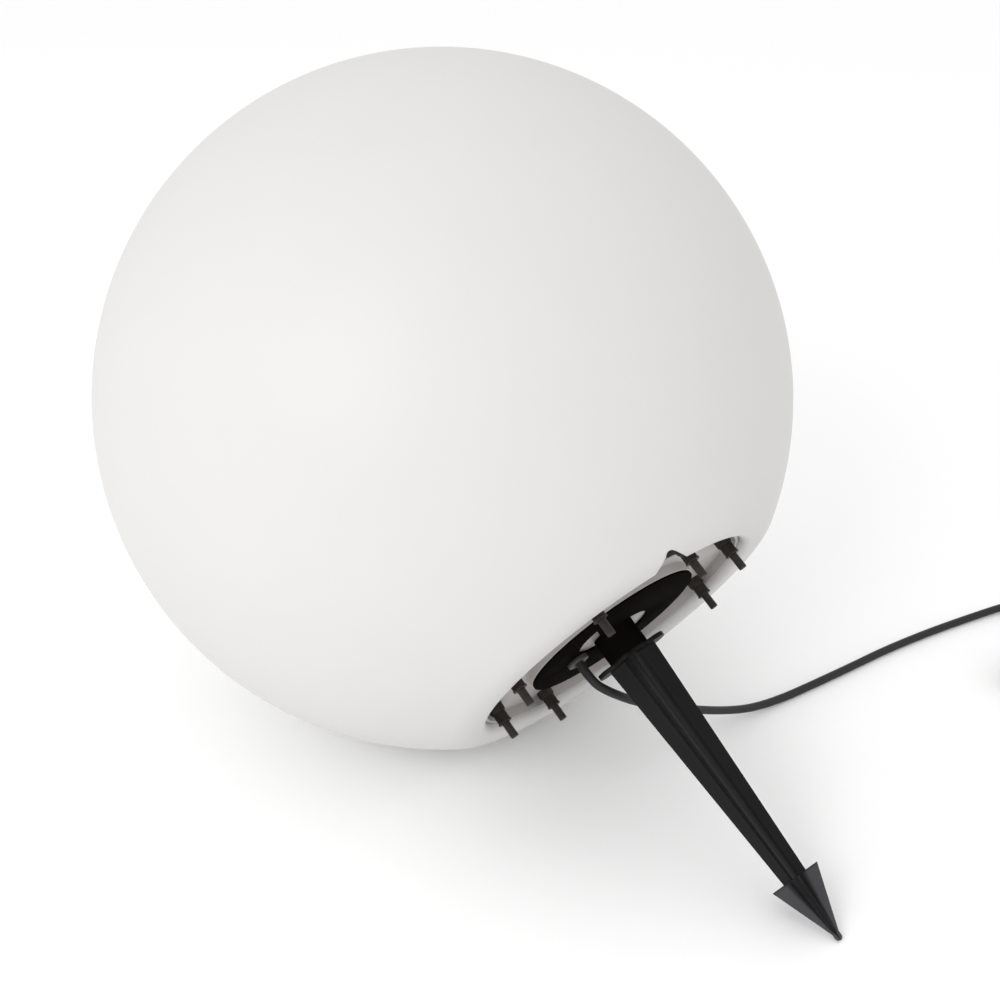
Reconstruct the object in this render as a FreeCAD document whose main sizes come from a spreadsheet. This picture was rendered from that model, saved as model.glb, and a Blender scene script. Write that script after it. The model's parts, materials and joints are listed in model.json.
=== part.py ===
# Garden globe light with a ground spike, laid down on a flat surface.
# Everything is in millimetres.
#
# The pieces are drawn in the lamp's own frame: its origin is the globe's centre,
# +Z runs along the lamp's axis from there out through the base to the spike's tip,
# and +X and +Y are the two directions in which the spike's fins stand.
# One placement then lays the lamp down, with its globe and its spike's tip on z = 0.
import FreeCAD, Part
import math
import os

import Sketcher

Vector = FreeCAD.Vector

SIZES = (
    ("globe_radius", 250.0, "outside radius of the globe"),
    ("globe_wall", 4.0, "wall of the moulded globe"),
    ("rim_outer_round", 33.0, "round from the globe into the rim"),
    ("rim_inner_round", 6.0, "round from the rim into the recess"),
    ("rim_flat", 4.94, "flat ring of the rim between its two rounds"),
    ("recess_radius", 108.0, "inside radius of the recess in the base"),
    ("recess_depth", 18.0, "depth of the recess from the rim to the lip"),
    ("lip_width", 22.0, "width of the lip round the mouth"),
    ("notch_angle", 61.0, "direction of the cable notch round the axis, degrees"),
    ("notch_depth", 8.5, "depth of the cable notch from the rim"),
    ("notch_ramp", 13.0, "large round on one side of the notch"),
    ("notch_shoulder", 6.0, "small round on the other side of the notch"),
    ("notch_floor", 7.0, "straight bottom of the notch"),
    ("notch_wall", 4.0, "wall moulded round the notch"),
    ("clip_thickness", 2.2, "rubber clip in the notch"),
    ("clip_width", 7.0, "length of the rubber clip along the notch"),
    ("gasket_thickness", 1.5, "flat gasket between the lip and the pan"),
    ("pan_clearance", 0.5, "gap round the pan in the recess"),
    ("pan_floor", 3.0, "floor of the base pan"),
    ("pan_wall", 2.5, "walls of the base pan"),
    ("pan_wall_height", 7.5, "height of the pan's outer wall above its floor"),
    ("boss_radius", 68.0, "radius of the raised middle of the pan"),
    ("boss_height", 6.8, "height of the raised middle above the pan's floor"),
    ("disc_radius", 67.1, "radius of the black carrier disc"),
    ("disc_thickness", 1.6, "carrier disc"),
    ("window_radius", 27.0, "radius of the carrier's half-moon windows"),
    ("window_shift", 13.0, "offset of each window's centre from the axis"),
    ("window_bar", 9.0, "half the width of the bar between the windows"),
    ("hub_radius", 15.5, "outside radius of the spike socket"),
    ("hub_length", 18.9, "height of the spike socket above the disc"),
    ("socket_radius", 11.0, "bore of the spike socket"),
    ("socket_depth", 15.5, "depth of the bore"),
    ("bayonet_groove", 2.2, "depth of the bayonet groove in the bore"),
    ("bayonet_height", 4.0, "height of the bayonet groove"),
    ("bayonet_width", 9.0, "width of the two entry slots"),
    ("neck_radius", 9.0, "threaded neck through the pan"),
    ("neck_length", 14.0, "length of the neck under the disc"),
    ("fit_gap", 0.06, "radial clearance of a running fit"),
    ("hole_gap", 0.3, "radial clearance of a through hole"),
    ("locknut_flats", 27.0, "across flats of the neck's lock nut"),
    ("locknut_height", 6.0, "height of the neck's lock nut"),
    ("stud_inset", 10.5, "from the recess's wall in to the circle of studs"),
    ("stud_clock", 1.7, "turn of the circle of studs, degrees"),
    ("stud_radius", 3.0, "M6 stud"),
    ("stud_pitch_radius", 2.68, "stud where its thread carries the nut and the sleeve"),
    ("stud_reach", 13.0, "reach of the studs beyond the rim"),
    ("stud_head_height", 4.0, "head of the studs"),
    ("ring_thickness", 3.0, "backing ring inside the globe"),
    ("ring_width", 19.0, "width of the backing ring"),
    ("washer_radius", 6.0, "M6 washer"),
    ("washer_thickness", 1.2, "M6 washer"),
    ("nut_flats", 10.0, "across flats of the M6 nuts and heads"),
    ("nut_height", 5.0, "M6 nut"),
    ("sleeve_radius", 4.7, "spacer sleeve over each stud"),
    ("sleeve_collar", 0.45, "collar at the sleeve's outer end"),
    ("sleeve_reach", 1.0, "reach of the sleeves beyond the rim"),
    ("gland_offset", 32.0, "distance of the cable gland from the axis"),
    ("gland_radius", 8.0, "flange of the cable gland"),
    ("gland_flange", 3.5, "height of the gland above the disc"),
    ("gland_thread", 6.0, "radius of the gland's threaded body"),
    ("gland_seal_wall", 1.2, "wall of the rubber sleeve in the gland"),
    ("gland_length", 15.0, "length of the threaded body under the disc"),
    ("gland_nut_flats", 15.0, "across flats of the gland's lock nut"),
    ("gland_nut_height", 3.0, "gland's lock nut"),
    ("cable_radius", 3.2, "radius of the rubber cable"),
    ("bracket_reach", 28.0, "distance of the bracket's legs from the axis"),
    ("bracket_width", 28.0, "width of the bracket's strip"),
    ("bracket_strip", 2.0, "thickness of the bracket's strip"),
    ("bracket_height", 34.0, "height of the bracket"),
    ("block_size", 16.0, "width and height of the terminal block"),
    ("block_length", 24.0, "length of the terminal block"),
    ("nipple_radius", 5.0, "M10 nipple of the lamp holder"),
    ("holder_radius", 20.0, "outside radius of the lamp holder"),
    ("holder_wall", 2.4, "wall of the lamp holder"),
    ("holder_cap_height", 20.0, "height of the lamp holder's cap"),
    ("holder_barrel_height", 34.0, "height of the lamp holder's barrel"),
    ("thread_radius", 13.1, "radius of the bulb's screw cap"),
    ("thread_wall", 0.4, "sheet of the screw shell"),
    ("cap_length", 24.0, "length of the bulb's screw cap"),
    ("bulb_radius", 30.0, "largest radius of the bulb"),
    ("bulb_housing_length", 46.0, "length of the bulb's housing"),
    ("flange_gap", 0.2, "gap between the socket and the spike's winged flange"),
    ("flange_thickness", 3.0, "winged flange of the spike"),
    ("flange_span", 54.0, "span of the winged flange"),
    ("flange_width", 16.0, "width of the wings"),
    ("shaft_top_half", 18.6, "half width of the spike's shaft under the flange"),
    ("shaft_end_half", 8.75, "half width of the shaft at the arrow head"),
    ("fin_edge", 3.0, "thickness of the fins at their edge"),
    ("fin_root", 0.34, "root of the fins, as a share of the half width"),
    ("shaft_length", 177.5, "from the flange to the shoulders of the arrow head"),
    ("arrow_half", 17.8, "half width of the arrow head"),
    ("arrow_root", 4.6, "root of the arrow head's fins"),
    ("tip_radius", 2.55, "rounded tip of the spike"),
    ("arrow_length", 47.0, "from the arrow head's shoulders to the spike's end"),
    ("roll_angle", 128.5, "turn of the lamp about its axis as it lies, degrees"),
    ("stud_count", 8.0, "number of studs"),
    ("plug_radius", 19.0, "widest radius of the plug's body"),
    ("plug_length", 44.0, "length of the plug's body"),
    ("plug_relief", 26.0, "length of the tapered sleeve on the plug"),
    ("pin_radius", 2.4, "plug pins"),
    ("pin_length", 19.0, "length of the plug pins"),
    ("pin_spacing", 19.0, "distance between the plug pins"),
    ("coil_turns_in", 3.0, "turns of the coil's lower layer, wound inwards"),
    ("coil_turns_out", 2.5, "turns of the coil's upper layer, wound outwards"),
    ("coil_pitch", 7.0, "distance between neighbouring turns"),
    ("coil_middle", 37.0, "radius at the middle of the turns"),
    ("tie_width", 8.0, "width of the strap round the coil"),
    ("tie_thickness", 1.2, "thickness of the strap round the coil"),
    ("tie_turn", 0.4, "place of the strap, in turns from the coil's start"),
    ("tail_length", 44.0, "free cable between the coil and the plug's sleeve"),
)

# The cable's route in the finished frame, chosen by hand: round behind the spike, down to
# the floor and along it to where the coil begins. Its first run, out of the gland, is
# worked out from the gland.
EXIT_RUN = 13.0
CABLE_POINTS = (
    Vector(121.0, -20.2, 100.4),
    Vector(125.6, -10.0, 89.9),
    Vector(126.0, 9.0, 77.6),
    Vector(124.6, 40.5, 59.8),
    Vector(123.9, 77.5, 38.9),
    Vector(124.2, 113.5, 20.2),
    Vector(126.4, 146.0, 7.4),
    Vector(131.4, 178.0, 3.4),
    Vector(137.2, 216.0, 3.4),
    Vector(143.0, 257.2, 3.4),
    Vector(148.0, 299.0, 3.4),
    Vector(157.0, 347.2, 3.4),
    Vector(168.5, 395.0, 3.4),
    Vector(182.5, 440.5, 4.9),
    Vector(200.0, 484.0, 4.9),
)


class Size:
    """A length with its value and the sheet formula that it comes from."""

    def __init__(self, value, formula):
        self.value = float(value)
        self.formula = formula

    def joined(self, other, sign, value):
        return Size(value, "(%s %s %s)" % (self.formula, sign, other.formula))

    def __add__(self, other):
        other = as_size(other)
        return self.joined(other, "+", self.value + other.value)

    def __sub__(self, other):
        other = as_size(other)
        return self.joined(other, "-", self.value - other.value)

    def __mul__(self, other):
        other = as_size(other)
        return self.joined(other, "*", self.value * other.value)

    def __truediv__(self, other):
        other = as_size(other)
        return self.joined(other, "/", self.value / other.value)

    def __radd__(self, other):
        return as_size(other) + self

    def __rsub__(self, other):
        return as_size(other) - self

    def __rmul__(self, other):
        return as_size(other) * self

    def __neg__(self):
        return Size(-self.value, "(0 - %s)" % self.formula)


def as_size(number):
    if isinstance(number, Size):
        return number
    return Size(number, "(%s)" % repr(float(number)))


def root(size):
    return Size(math.sqrt(size.value), "sqrt(%s)" % size.formula)


document = FreeCAD.newDocument("garden_globe_light")
sheet = document.addObject("Spreadsheet::Sheet", "Sizes")
for row_number, (alias, number, meaning) in enumerate(SIZES, start=1):
    sheet.set("A%d" % row_number, meaning)
    sheet.set("B%d" % row_number, str(number))
    sheet.setAlias("B%d" % row_number, alias)
document.recompute()


class Sheet:
    """The driving sizes by name."""


s = Sheet()
for alias, number, meaning in SIZES:
    setattr(s, alias, Size(float(sheet.get(alias)), "Sizes." + alias))

# ---- levels and radii that follow from the driving sizes ----


def derive(alias, size, meaning):
    """Puts a size that follows from others into the sheet under its own name."""
    row = len(SIZES) + 1
    while sheet.getContents("A%d" % row):
        row += 1
    sheet.set("A%d" % row, meaning)
    sheet.set("B%d" % row, "=" + size.formula.replace("Sizes.", ""))
    sheet.setAlias("B%d" % row, alias)
    document.recompute()
    setattr(s, alias, Size(float(sheet.get(alias)), "Sizes." + alias))


# the rim's level is where the outer round, which rolls inside the globe, meets the rim's flat
rim_edge = s.recess_radius + s.rim_inner_round + s.rim_flat
rolled = s.globe_radius - s.rim_outer_round
rim_rise = root(rolled * rolled - rim_edge * rim_edge)
derive("rim_level", s.rim_outer_round + rim_rise, "rim, from the globe's centre")
derive("lip_level", s.rim_level - s.recess_depth, "outer face of the lip in the recess")
derive("mouth_radius", s.recess_radius - s.lip_width, "radius of the opening inside the lip")
derive("stud_circle", s.recess_radius - s.stud_inset, "radius of the circle of studs")
derive("stud_tip_level", s.rim_level + s.stud_reach, "end of the studs")
derive("sleeve_top_level", s.rim_level + s.sleeve_reach, "outer end of the sleeves")

lip_inner_face = s.lip_level - s.globe_wall
pan_under = s.lip_level + s.gasket_thickness
pan_level = pan_under + s.pan_floor
pan_radius = s.recess_radius - s.pan_clearance
pan_rim = pan_level + s.pan_wall_height
boss_level = pan_level + s.boss_height
disc_level = boss_level + s.disc_thickness
hub_level = disc_level + s.hub_length
derive("flange_level", hub_level + s.flange_gap, "inner face of the spike's winged flange")
shaft_level = s.flange_level + s.flange_thickness
derive("arrow_level", shaft_level + s.shaft_length, "shoulders of the arrow head")
derive("spike_end", s.arrow_level + s.arrow_length, "end of the spike")
ring_level = lip_inner_face - s.ring_thickness
head_level = ring_level - s.stud_head_height
washer_level = pan_level + s.washer_thickness
nut_level = washer_level + s.nut_height
boss_ceiling = boss_level - s.pan_floor
bracket_level = boss_ceiling - s.bracket_strip
plate_level = boss_ceiling - s.bracket_height
stud_hole = s.stud_radius + s.hole_gap
gland_bore = s.gland_thread + s.hole_gap

bodies = {}


def check(item):
    """Stops the build where a feature failed without saying so."""
    states = item.State
    if "Invalid" in states or "Error" in states:
        raise RuntimeError("%s did not build" % item.Label)


def new_body(name):
    body = document.addObject("PartDesign::Body", name)
    body.Label = name
    bodies[name] = body
    return body


def origin_feature(body, role):
    for feature in body.Origin.OriginFeatures:
        if feature.Role == role:
            return feature
    raise RuntimeError("no " + role)


def bind(item, field, size):
    size = as_size(size)
    item.setExpression(field, size.formula)


def new_sketch(body, plane, level=None, turn=None):
    """A sketch on one of the body's own planes, moved along its normal or turned about its
    upright axis where asked."""
    sketch = body.newObject("Sketcher::SketchObject", body.Label + "_sketch")
    sketch.AttachmentSupport = [(origin_feature(body, plane), "")]
    sketch.MapMode = "FlatFace"
    if level is not None and turn is None:
        bind(sketch, "AttachmentOffset.Base.z", level)
    if turn is not None:
        angle = as_size(turn)
        sketch.AttachmentOffset = FreeCAD.Placement(
            Vector(0, 0, 0), FreeCAD.Rotation(Vector(0, 1, 0), angle.value)
        )
        sketch.setExpression("AttachmentOffset.Rotation.Angle", angle.formula)
        across = "%s * sin(%s)" % (level.formula, angle.formula)
        along = "%s * cos(%s)" % (level.formula, angle.formula)
        sketch.setExpression("AttachmentOffset.Base.x", across)
        sketch.setExpression("AttachmentOffset.Base.z", along)
    return sketch


def arc_between(start, end, radius, side):
    """The shorter arc from start to end. Its centre lies to the left of the way from start to
    end where side is +1, and to the right where side is -1."""
    chord = end - start
    middle = (start + end) * 0.5
    half = chord.Length / 2.0
    rise = math.sqrt(max(radius * radius - half * half, 0.0))
    left = Vector(-chord.y, chord.x, 0).normalize()
    centre = middle + left * (rise * side)
    first = math.atan2(start.y - centre.y, start.x - centre.x)
    last = math.atan2(end.y - centre.y, end.x - centre.x)
    circle = Part.Circle(centre, Vector(0, 0, 1), radius)
    if side > 0:
        return Part.ArcOfCircle(circle, first, last), 1, 2
    return Part.ArcOfCircle(circle, last, first), 2, 1


def add_outline(sketch, points, arcs=None):
    """Draws a closed outline through the points and ties each coordinate to its size. arcs
    gives, by the number of the edge, the radius of an arc and the side of its centre."""
    arcs = arcs or {}
    corners = [(as_size(x), as_size(y)) for x, y in points]
    count = len(corners)
    edges = []
    for number in range(count):
        x, y = corners[number]
        next_x, next_y = corners[(number + 1) % count]
        start = Vector(x.value, y.value, 0)
        end = Vector(next_x.value, next_y.value, 0)
        if number in arcs:
            radius, side = arcs[number]
            geometry, first, last = arc_between(start, end, as_size(radius).value, side)
        else:
            geometry, first, last = Part.LineSegment(start, end), 1, 2
        index = sketch.addGeometry(geometry, False)
        edges.append((index, first, last))
    for number in range(count):
        index, first, last = edges[number]
        next_index, next_first, next_last = edges[(number + 1) % count]
        sketch.addConstraint(
            Sketcher.Constraint("Coincident", index, last, next_index, next_first)
        )
    for number, (x, y) in enumerate(corners):
        index, first, last = edges[number]
        hold(sketch, "DistanceX", index, first, x, -2)
        hold(sketch, "DistanceY", index, first, y, -1)
    for number, (radius, side) in arcs.items():
        radius = as_size(radius)
        index = edges[number][0]
        place = sketch.addConstraint(Sketcher.Constraint("Radius", index, radius.value))
        sketch.setExpression("Constraints[%d]" % place, radius.formula)


def hold(sketch, kind, index, corner, size, axis):
    """Ties one coordinate of a corner to its size, or puts the corner on the axis."""
    if abs(size.value) < 1e-9:
        sketch.addConstraint(Sketcher.Constraint("PointOnObject", index, corner, axis))
        return
    place = sketch.addConstraint(
        Sketcher.Constraint(kind, -1, 1, index, corner, size.value)
    )
    sketch.setExpression("Constraints[%d]" % place, size.formula)


def add_circle(sketch, x, y, radius):
    """A circle whose centre and radius are tied to their sizes."""
    x = as_size(x)
    y = as_size(y)
    radius = as_size(radius)
    centre = Vector(x.value, y.value, 0)
    index = sketch.addGeometry(Part.Circle(centre, Vector(0, 0, 1), radius.value), False)
    hold(sketch, "DistanceX", index, 3, x, -2)
    hold(sketch, "DistanceY", index, 3, y, -1)
    place = sketch.addConstraint(Sketcher.Constraint("Radius", index, radius.value))
    sketch.setExpression("Constraints[%d]" % place, radius.formula)


def turn_solid(body, points, arcs=None):
    """Turns an outline of radius and level about the lamp's axis."""
    sketch = new_sketch(body, "XZ_Plane")
    add_outline(sketch, points, arcs)
    feature = body.newObject("PartDesign::Revolution", body.Label + "_turned")
    feature.Profile = sketch
    feature.ReferenceAxis = (sketch, ["V_Axis"])
    feature.Angle = 360.0
    document.recompute()
    check(feature)
    return feature


def pad(body, sketch, length, both_ways=False):
    feature = body.newObject("PartDesign::Pad", body.Label + "_pad")
    feature.Profile = sketch
    bind(feature, "Length", length)
    feature.Midplane = both_ways
    document.recompute()
    check(feature)
    return feature


def pocket(body, sketch, length, outwards=False):
    """Cuts from the sketch's plane against its normal, or along it where outwards is set, and
    makes sure that something was cut."""
    before = body.Shape.Volume
    feature = body.newObject("PartDesign::Pocket", body.Label + "_cut")
    feature.Profile = sketch
    bind(feature, "Length", length)
    feature.Reversed = outwards
    document.recompute()
    check(feature)
    if body.Shape.Volume > before - 1e-3:
        raise RuntimeError("%s cuts nothing" % feature.Label)
    return feature


def repeat_round(body, feature, count):
    """Repeats a feature round the lamp's axis."""
    pattern = body.newObject("PartDesign::PolarPattern", body.Label + "_round")
    pattern.Originals = [feature]
    pattern.Axis = (origin_feature(body, "Z_Axis"), [""])
    pattern.Angle = 360.0
    bind(pattern, "Occurrences", count)
    body.Tip = pattern
    document.recompute()
    check(pattern)
    return pattern


def cut_ring_of_holes(body, top, depth):
    """The stud holes, cut from the level top downwards."""
    sketch = new_sketch(body, "XY_Plane", top)
    angle = math.radians(s.stud_clock.value)
    across = Size(
        s.stud_circle.value * math.cos(angle),
        "(%s * cos(%s))" % (s.stud_circle.formula, s.stud_clock.formula),
    )
    along = Size(
        s.stud_circle.value * math.sin(angle),
        "(%s * sin(%s))" % (s.stud_circle.formula, s.stud_clock.formula),
    )
    add_circle(sketch, across, along, stud_hole)
    hole = pocket(body, sketch, depth)
    return repeat_round(body, hole, s.stud_count)


def ring_points(inner, outer, low, high):
    return [(inner, low), (outer, low), (outer, high), (inner, high)]


def make_ring(name, inner, outer, low, high):
    """A plain ring or disc between two levels."""
    body = new_body(name)
    turn_solid(body, ring_points(inner, outer, low, high))
    return body


def add_shape(name, shape):
    """A piece whose shape is worked out in code."""
    item = document.addObject("Part::Feature", name)
    item.Label = name
    item.Shape = shape
    bodies[name] = item
    return item


# ---- the globe and its base ----


def make_globe_shell():
    """The rotationally moulded globe: one even wall that turns in at the rim, drops into a
    recess and ends in a lip round the mouth."""
    body = new_body("globe_shell")
    ball = s.globe_radius
    inner_ball = ball - s.globe_wall
    inner_rim_round = s.rim_outer_round - s.globe_wall
    inner_recess = s.recess_radius + s.globe_wall
    round_centre = s.rim_level - s.rim_outer_round
    cosine = round_centre / (ball - s.rim_outer_round)
    sine = root(1 - cosine * cosine)
    round_radius = (ball - s.rim_outer_round) * sine
    shoulder = s.rim_level - s.rim_inner_round
    flat_start = s.recess_radius + s.rim_inner_round
    inner_corner = s.rim_inner_round - s.globe_wall
    points = [
        (0, -ball),
        (ball * sine, ball * cosine),
        (round_radius, s.rim_level),
        (flat_start, s.rim_level),
        (s.recess_radius, shoulder),
        (s.recess_radius, s.lip_level),
        (s.mouth_radius, s.lip_level),
        (s.mouth_radius, lip_inner_face),
        (inner_recess, lip_inner_face),
        (inner_recess, shoulder),
        (flat_start, shoulder + inner_corner),
        (round_radius, s.rim_level - s.globe_wall),
        (inner_ball * sine, inner_ball * cosine),
        (0, -inner_ball),
    ]
    arcs = {
        0: (ball, 1),
        1: (s.rim_outer_round, 1),
        3: (s.rim_inner_round, 1),
        9: (inner_corner, -1),
        11: (inner_rim_round, -1),
        12: (inner_ball, -1),
    }
    turn_solid(body, points, arcs)
    cut_ring_of_holes(body, s.lip_level, s.globe_wall + 1)
    add_notch_wall(body)
    cut_notch(body)
    return body


def notch_turn():
    """The turn that brings the upright sketch plane square to the notch's direction."""
    return s.notch_angle - 90


def notch_outline():
    """The notch seen along its own direction: across the notch, and from the globe's centre
    outwards. A long round ramp on one side, a small shoulder on the other."""
    floor_level = s.rim_level - s.notch_depth
    half = s.notch_floor / 2
    ramp_run = ramp_width()
    above = s.rim_level + 3
    shoulder_level = s.rim_level - s.notch_shoulder
    points = [
        (-half - ramp_run, s.rim_level),
        (-half, floor_level),
        (half, floor_level),
        (half, shoulder_level),
        (half + s.notch_shoulder, s.rim_level),
        (half + s.notch_shoulder, above),
        (-half - ramp_run, above),
    ]
    arcs = {0: (s.notch_ramp, -1), 3: (s.notch_shoulder, -1)}
    return points, arcs


def add_notch_wall(body):
    """The wall that closes the hollow rim round the notch, stepped to stay inside the rim."""
    low = s.rim_level - s.notch_depth - s.notch_wall
    half = s.notch_floor / 2
    left = -half - ramp_width() - s.notch_wall
    right = half + s.notch_shoulder + s.notch_wall
    inner_end = s.recess_radius + s.globe_wall / 2
    near = s.recess_radius + s.rim_outer_round * 0.5
    far = s.recess_radius + s.rim_outer_round * 0.8
    for reach, drop in ((near, s.globe_wall / 2), (far, s.globe_wall * 1.4)):
        sketch = new_sketch(body, "XZ_Plane", -reach, notch_turn())
        high = s.rim_level - drop
        add_outline(sketch, [(left, low), (right, low), (right, high), (left, high)])
        pad(body, sketch, reach - inner_end)


def ramp_width():
    """How far the notch's large round reaches sideways."""
    drop = s.notch_ramp - s.notch_depth
    return root(s.notch_ramp * s.notch_ramp - drop * drop)


def cut_notch(body):
    sketch = new_sketch(body, "XZ_Plane", -(s.rim_level * 0.7), notch_turn())
    points, arcs = notch_outline()
    add_outline(sketch, points, arcs)
    length = s.rim_level * 0.7 - s.recess_radius + s.pan_wall
    return pocket(body, sketch, length, outwards=True)


def make_base_pan():
    """The grey moulded pan that closes the recess: an outer wall, a floor for the studs and a
    raised middle that is hollow underneath."""
    body = new_body("base_pan")
    inside = pan_radius - s.pan_wall
    hollow = s.boss_radius - s.pan_floor
    points = [
        (s.neck_radius + s.hole_gap, boss_ceiling),
        (hollow, boss_ceiling),
        (hollow, pan_under),
        (pan_radius, pan_under),
        (pan_radius, pan_rim),
        (inside, pan_rim),
        (inside, pan_level),
        (s.boss_radius, pan_level),
        (s.boss_radius, boss_level),
        (s.neck_radius + s.hole_gap, boss_level),
    ]
    turn_solid(body, points)
    cut_ring_of_holes(body, pan_level, s.pan_floor + 1)
    sketch = new_sketch(body, "XY_Plane", boss_level)
    add_circle(sketch, -s.gland_offset, 0, gland_bore)
    pocket(body, sketch, s.pan_floor + 1)
    return body


def make_gasket():
    body = make_ring(
        "base_gasket",
        s.mouth_radius + 1.5,
        pan_radius - 1.5,
        s.lip_level,
        pan_under,
    )
    cut_ring_of_holes(body, pan_under, s.gasket_thickness + 1)
    return body


def make_backing_ring():
    middle = s.stud_circle
    body = make_ring(
        "backing_ring",
        middle - s.ring_width / 2,
        middle + s.ring_width / 2,
        ring_level,
        lip_inner_face,
    )
    cut_ring_of_holes(body, lip_inner_face, s.ring_thickness + 1)
    return body


# ---- fasteners: one of each is drawn on the axis, and copies stand round the stud circle ----


def place_round(name, shape):
    """A group of separate solids round the stud circle, each a copy of the one on the axis."""
    copies = []
    count = int(round(s.stud_count.value))
    for number in range(count):
        angle = math.radians(s.stud_clock.value + 360.0 * number / count)
        copy = shape.copy()
        radius = s.stud_circle.value
        place = Vector(radius * math.cos(angle), radius * math.sin(angle), 0)
        copy.translate(place)
        copies.append(copy)
    return add_shape(name, Part.makeCompound(copies))


def hexagon(flats, low, high):
    """A hexagonal prism on the axis between two levels."""
    corner = flats / math.sqrt(3.0)
    points = []
    for number in range(7):
        angle = math.radians(60.0 * number)
        points.append(Vector(corner * math.cos(angle), corner * math.sin(angle), low))
    face = Part.Face(Part.makePolygon(points))
    return face.extrude(Vector(0, 0, high - low))


def tube(inner, outer, low, high):
    """A tube on the axis between two levels."""
    at = Vector(0, 0, low)
    shape = Part.makeCylinder(outer, high - low, at)
    return shape.cut(Part.makeCylinder(inner, high - low, at))


def make_studs():
    radius = s.stud_radius.value
    engaged = s.stud_pitch_radius.value
    low = head_level.value
    top = ring_level.value
    seat = s.sleeve_top_level.value
    tip = s.stud_tip_level.value
    shape = hexagon(s.nut_flats.value, low, top)
    shank = Part.makeCylinder(engaged, seat - top, Vector(0, 0, top))
    end = Part.makeCylinder(radius, tip - seat, Vector(0, 0, seat))
    chamfer = radius * 0.2
    end = end.makeChamfer(chamfer, [edge for edge in end.Edges if edge.Closed
                                    and abs(edge.BoundBox.ZMin - tip) < 1e-6])
    return place_round("studs", shape.fuse([shank, end]).removeSplitter())


def make_stud_washers():
    bore = s.stud_radius.value + s.hole_gap.value
    shape = tube(bore, s.washer_radius.value, pan_level.value, washer_level.value)
    return place_round("stud_washers", shape)


def make_stud_nuts():
    low = washer_level.value
    high = nut_level.value
    shape = hexagon(s.nut_flats.value, low, high)
    corner = s.nut_flats.value / math.sqrt(3.0)
    cone = Part.makeCone(corner + 1.0, s.nut_flats.value / 2, high - low + 1.0, Vector(0, 0, low))
    shape = shape.common(cone)
    thread = s.stud_pitch_radius.value + s.fit_gap.value
    bore = Part.makeCylinder(thread, high - low, Vector(0, 0, low))
    return place_round("stud_nuts", shape.cut(bore))


def make_stud_sleeves():
    low = nut_level.value
    high = s.sleeve_top_level.value
    bore = s.stud_radius.value + s.fit_gap.value
    collar = s.sleeve_radius.value + s.sleeve_collar.value
    shape = tube(bore, s.sleeve_radius.value, low, high)
    shape = shape.fuse(tube(bore, collar, high - 1.4, high)).removeSplitter()
    return place_round("stud_sleeves", shape)


def make_notch_clip():
    """The black rubber clip that lines the bottom and the steep side of the notch."""
    body = new_body("notch_clip")
    outer = s.recess_radius + s.globe_wall
    sketch = new_sketch(body, "XZ_Plane", -(outer + s.clip_width), notch_turn())
    low = s.rim_level - s.notch_depth
    half = s.notch_floor / 2
    side = half - s.clip_thickness
    shoulder = s.rim_level - s.notch_shoulder
    points = [
        (-half, low),
        (half, low),
        (half, shoulder),
        (side, shoulder),
        (side, low + s.clip_thickness),
        (-half, low + s.clip_thickness),
    ]
    add_outline(sketch, points)
    pad(body, sketch, s.clip_width)
    return body


# ---- the carrier with the spike's socket ----


def make_carrier():
    """Black moulding: a thin disc with two half-moon windows, the spike's socket outside and a
    threaded neck inside."""
    body = new_body("carrier")
    bottom = hub_level - s.socket_depth
    groove = s.socket_radius + s.bayonet_groove
    points = [
        (0, boss_level - s.neck_length),
        (s.neck_radius, boss_level - s.neck_length),
        (s.neck_radius, boss_level),
        (s.disc_radius, boss_level),
        (s.disc_radius, disc_level),
        (s.hub_radius, disc_level),
        (s.hub_radius, hub_level),
        (s.socket_radius, hub_level),
        (s.socket_radius, bottom + s.bayonet_height),
        (groove, bottom + s.bayonet_height),
        (groove, bottom),
        (0, bottom),
    ]
    turn_solid(body, points)
    cut_windows(body)
    sketch = new_sketch(body, "XY_Plane", disc_level)
    add_circle(sketch, -s.gland_offset, 0, gland_bore)
    pocket(body, sketch, s.disc_thickness + 1)
    cut_entry_slots(body, bottom)
    return body


def cut_windows(body):
    """Two half-moons, one each side of the bar that carries the socket."""
    reach = root(s.window_radius * s.window_radius - s.window_bar * s.window_bar)
    for side in (1, -1):
        sketch = new_sketch(body, "XY_Plane", disc_level)
        bar = s.window_bar * side
        shift = s.window_shift * side
        far_end = -shift - reach * side
        near_end = -shift + reach * side
        edge = s.window_radius * side
        points = [(bar, far_end), (edge, -shift), (bar, near_end)]
        arcs = {0: (s.window_radius, 1), 1: (s.window_radius, 1)}
        add_outline(sketch, points, arcs)
        pocket(body, sketch, s.disc_thickness)
    # the socket's wall stands over the windows again where they reached under it
    foot = new_sketch(body, "XY_Plane", boss_level)
    add_circle(foot, 0, 0, s.hub_radius)
    pad(body, foot, s.disc_thickness)


def cut_entry_slots(body, bottom):
    """The two slots through which the spike's lugs enter the bayonet groove."""
    sketch = new_sketch(body, "XY_Plane", hub_level)
    half = s.bayonet_width / 2
    groove = s.socket_radius + s.bayonet_groove
    points = [(-half, 0), (half, 0), (half, groove), (-half, groove)]
    add_outline(sketch, points)
    slot = pocket(body, sketch, s.socket_depth)
    repeat_round(body, slot, 2)


def make_carrier_locknut():
    low = bracket_level - s.locknut_height
    body = new_body("carrier_locknut")
    sketch = new_sketch(body, "XY_Plane", low)
    corner = s.locknut_flats / root(as_size(3))
    half = corner / 2
    flat = s.locknut_flats / 2
    points = [
        (corner, 0), (half, flat), (-half, flat), (-corner, 0), (-half, -flat), (half, -flat),
    ]
    add_outline(sketch, points)
    add_circle(sketch, 0, 0, s.neck_radius + s.fit_gap)
    pad(body, sketch, s.locknut_height)
    return body


# ---- the cable gland ----


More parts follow.
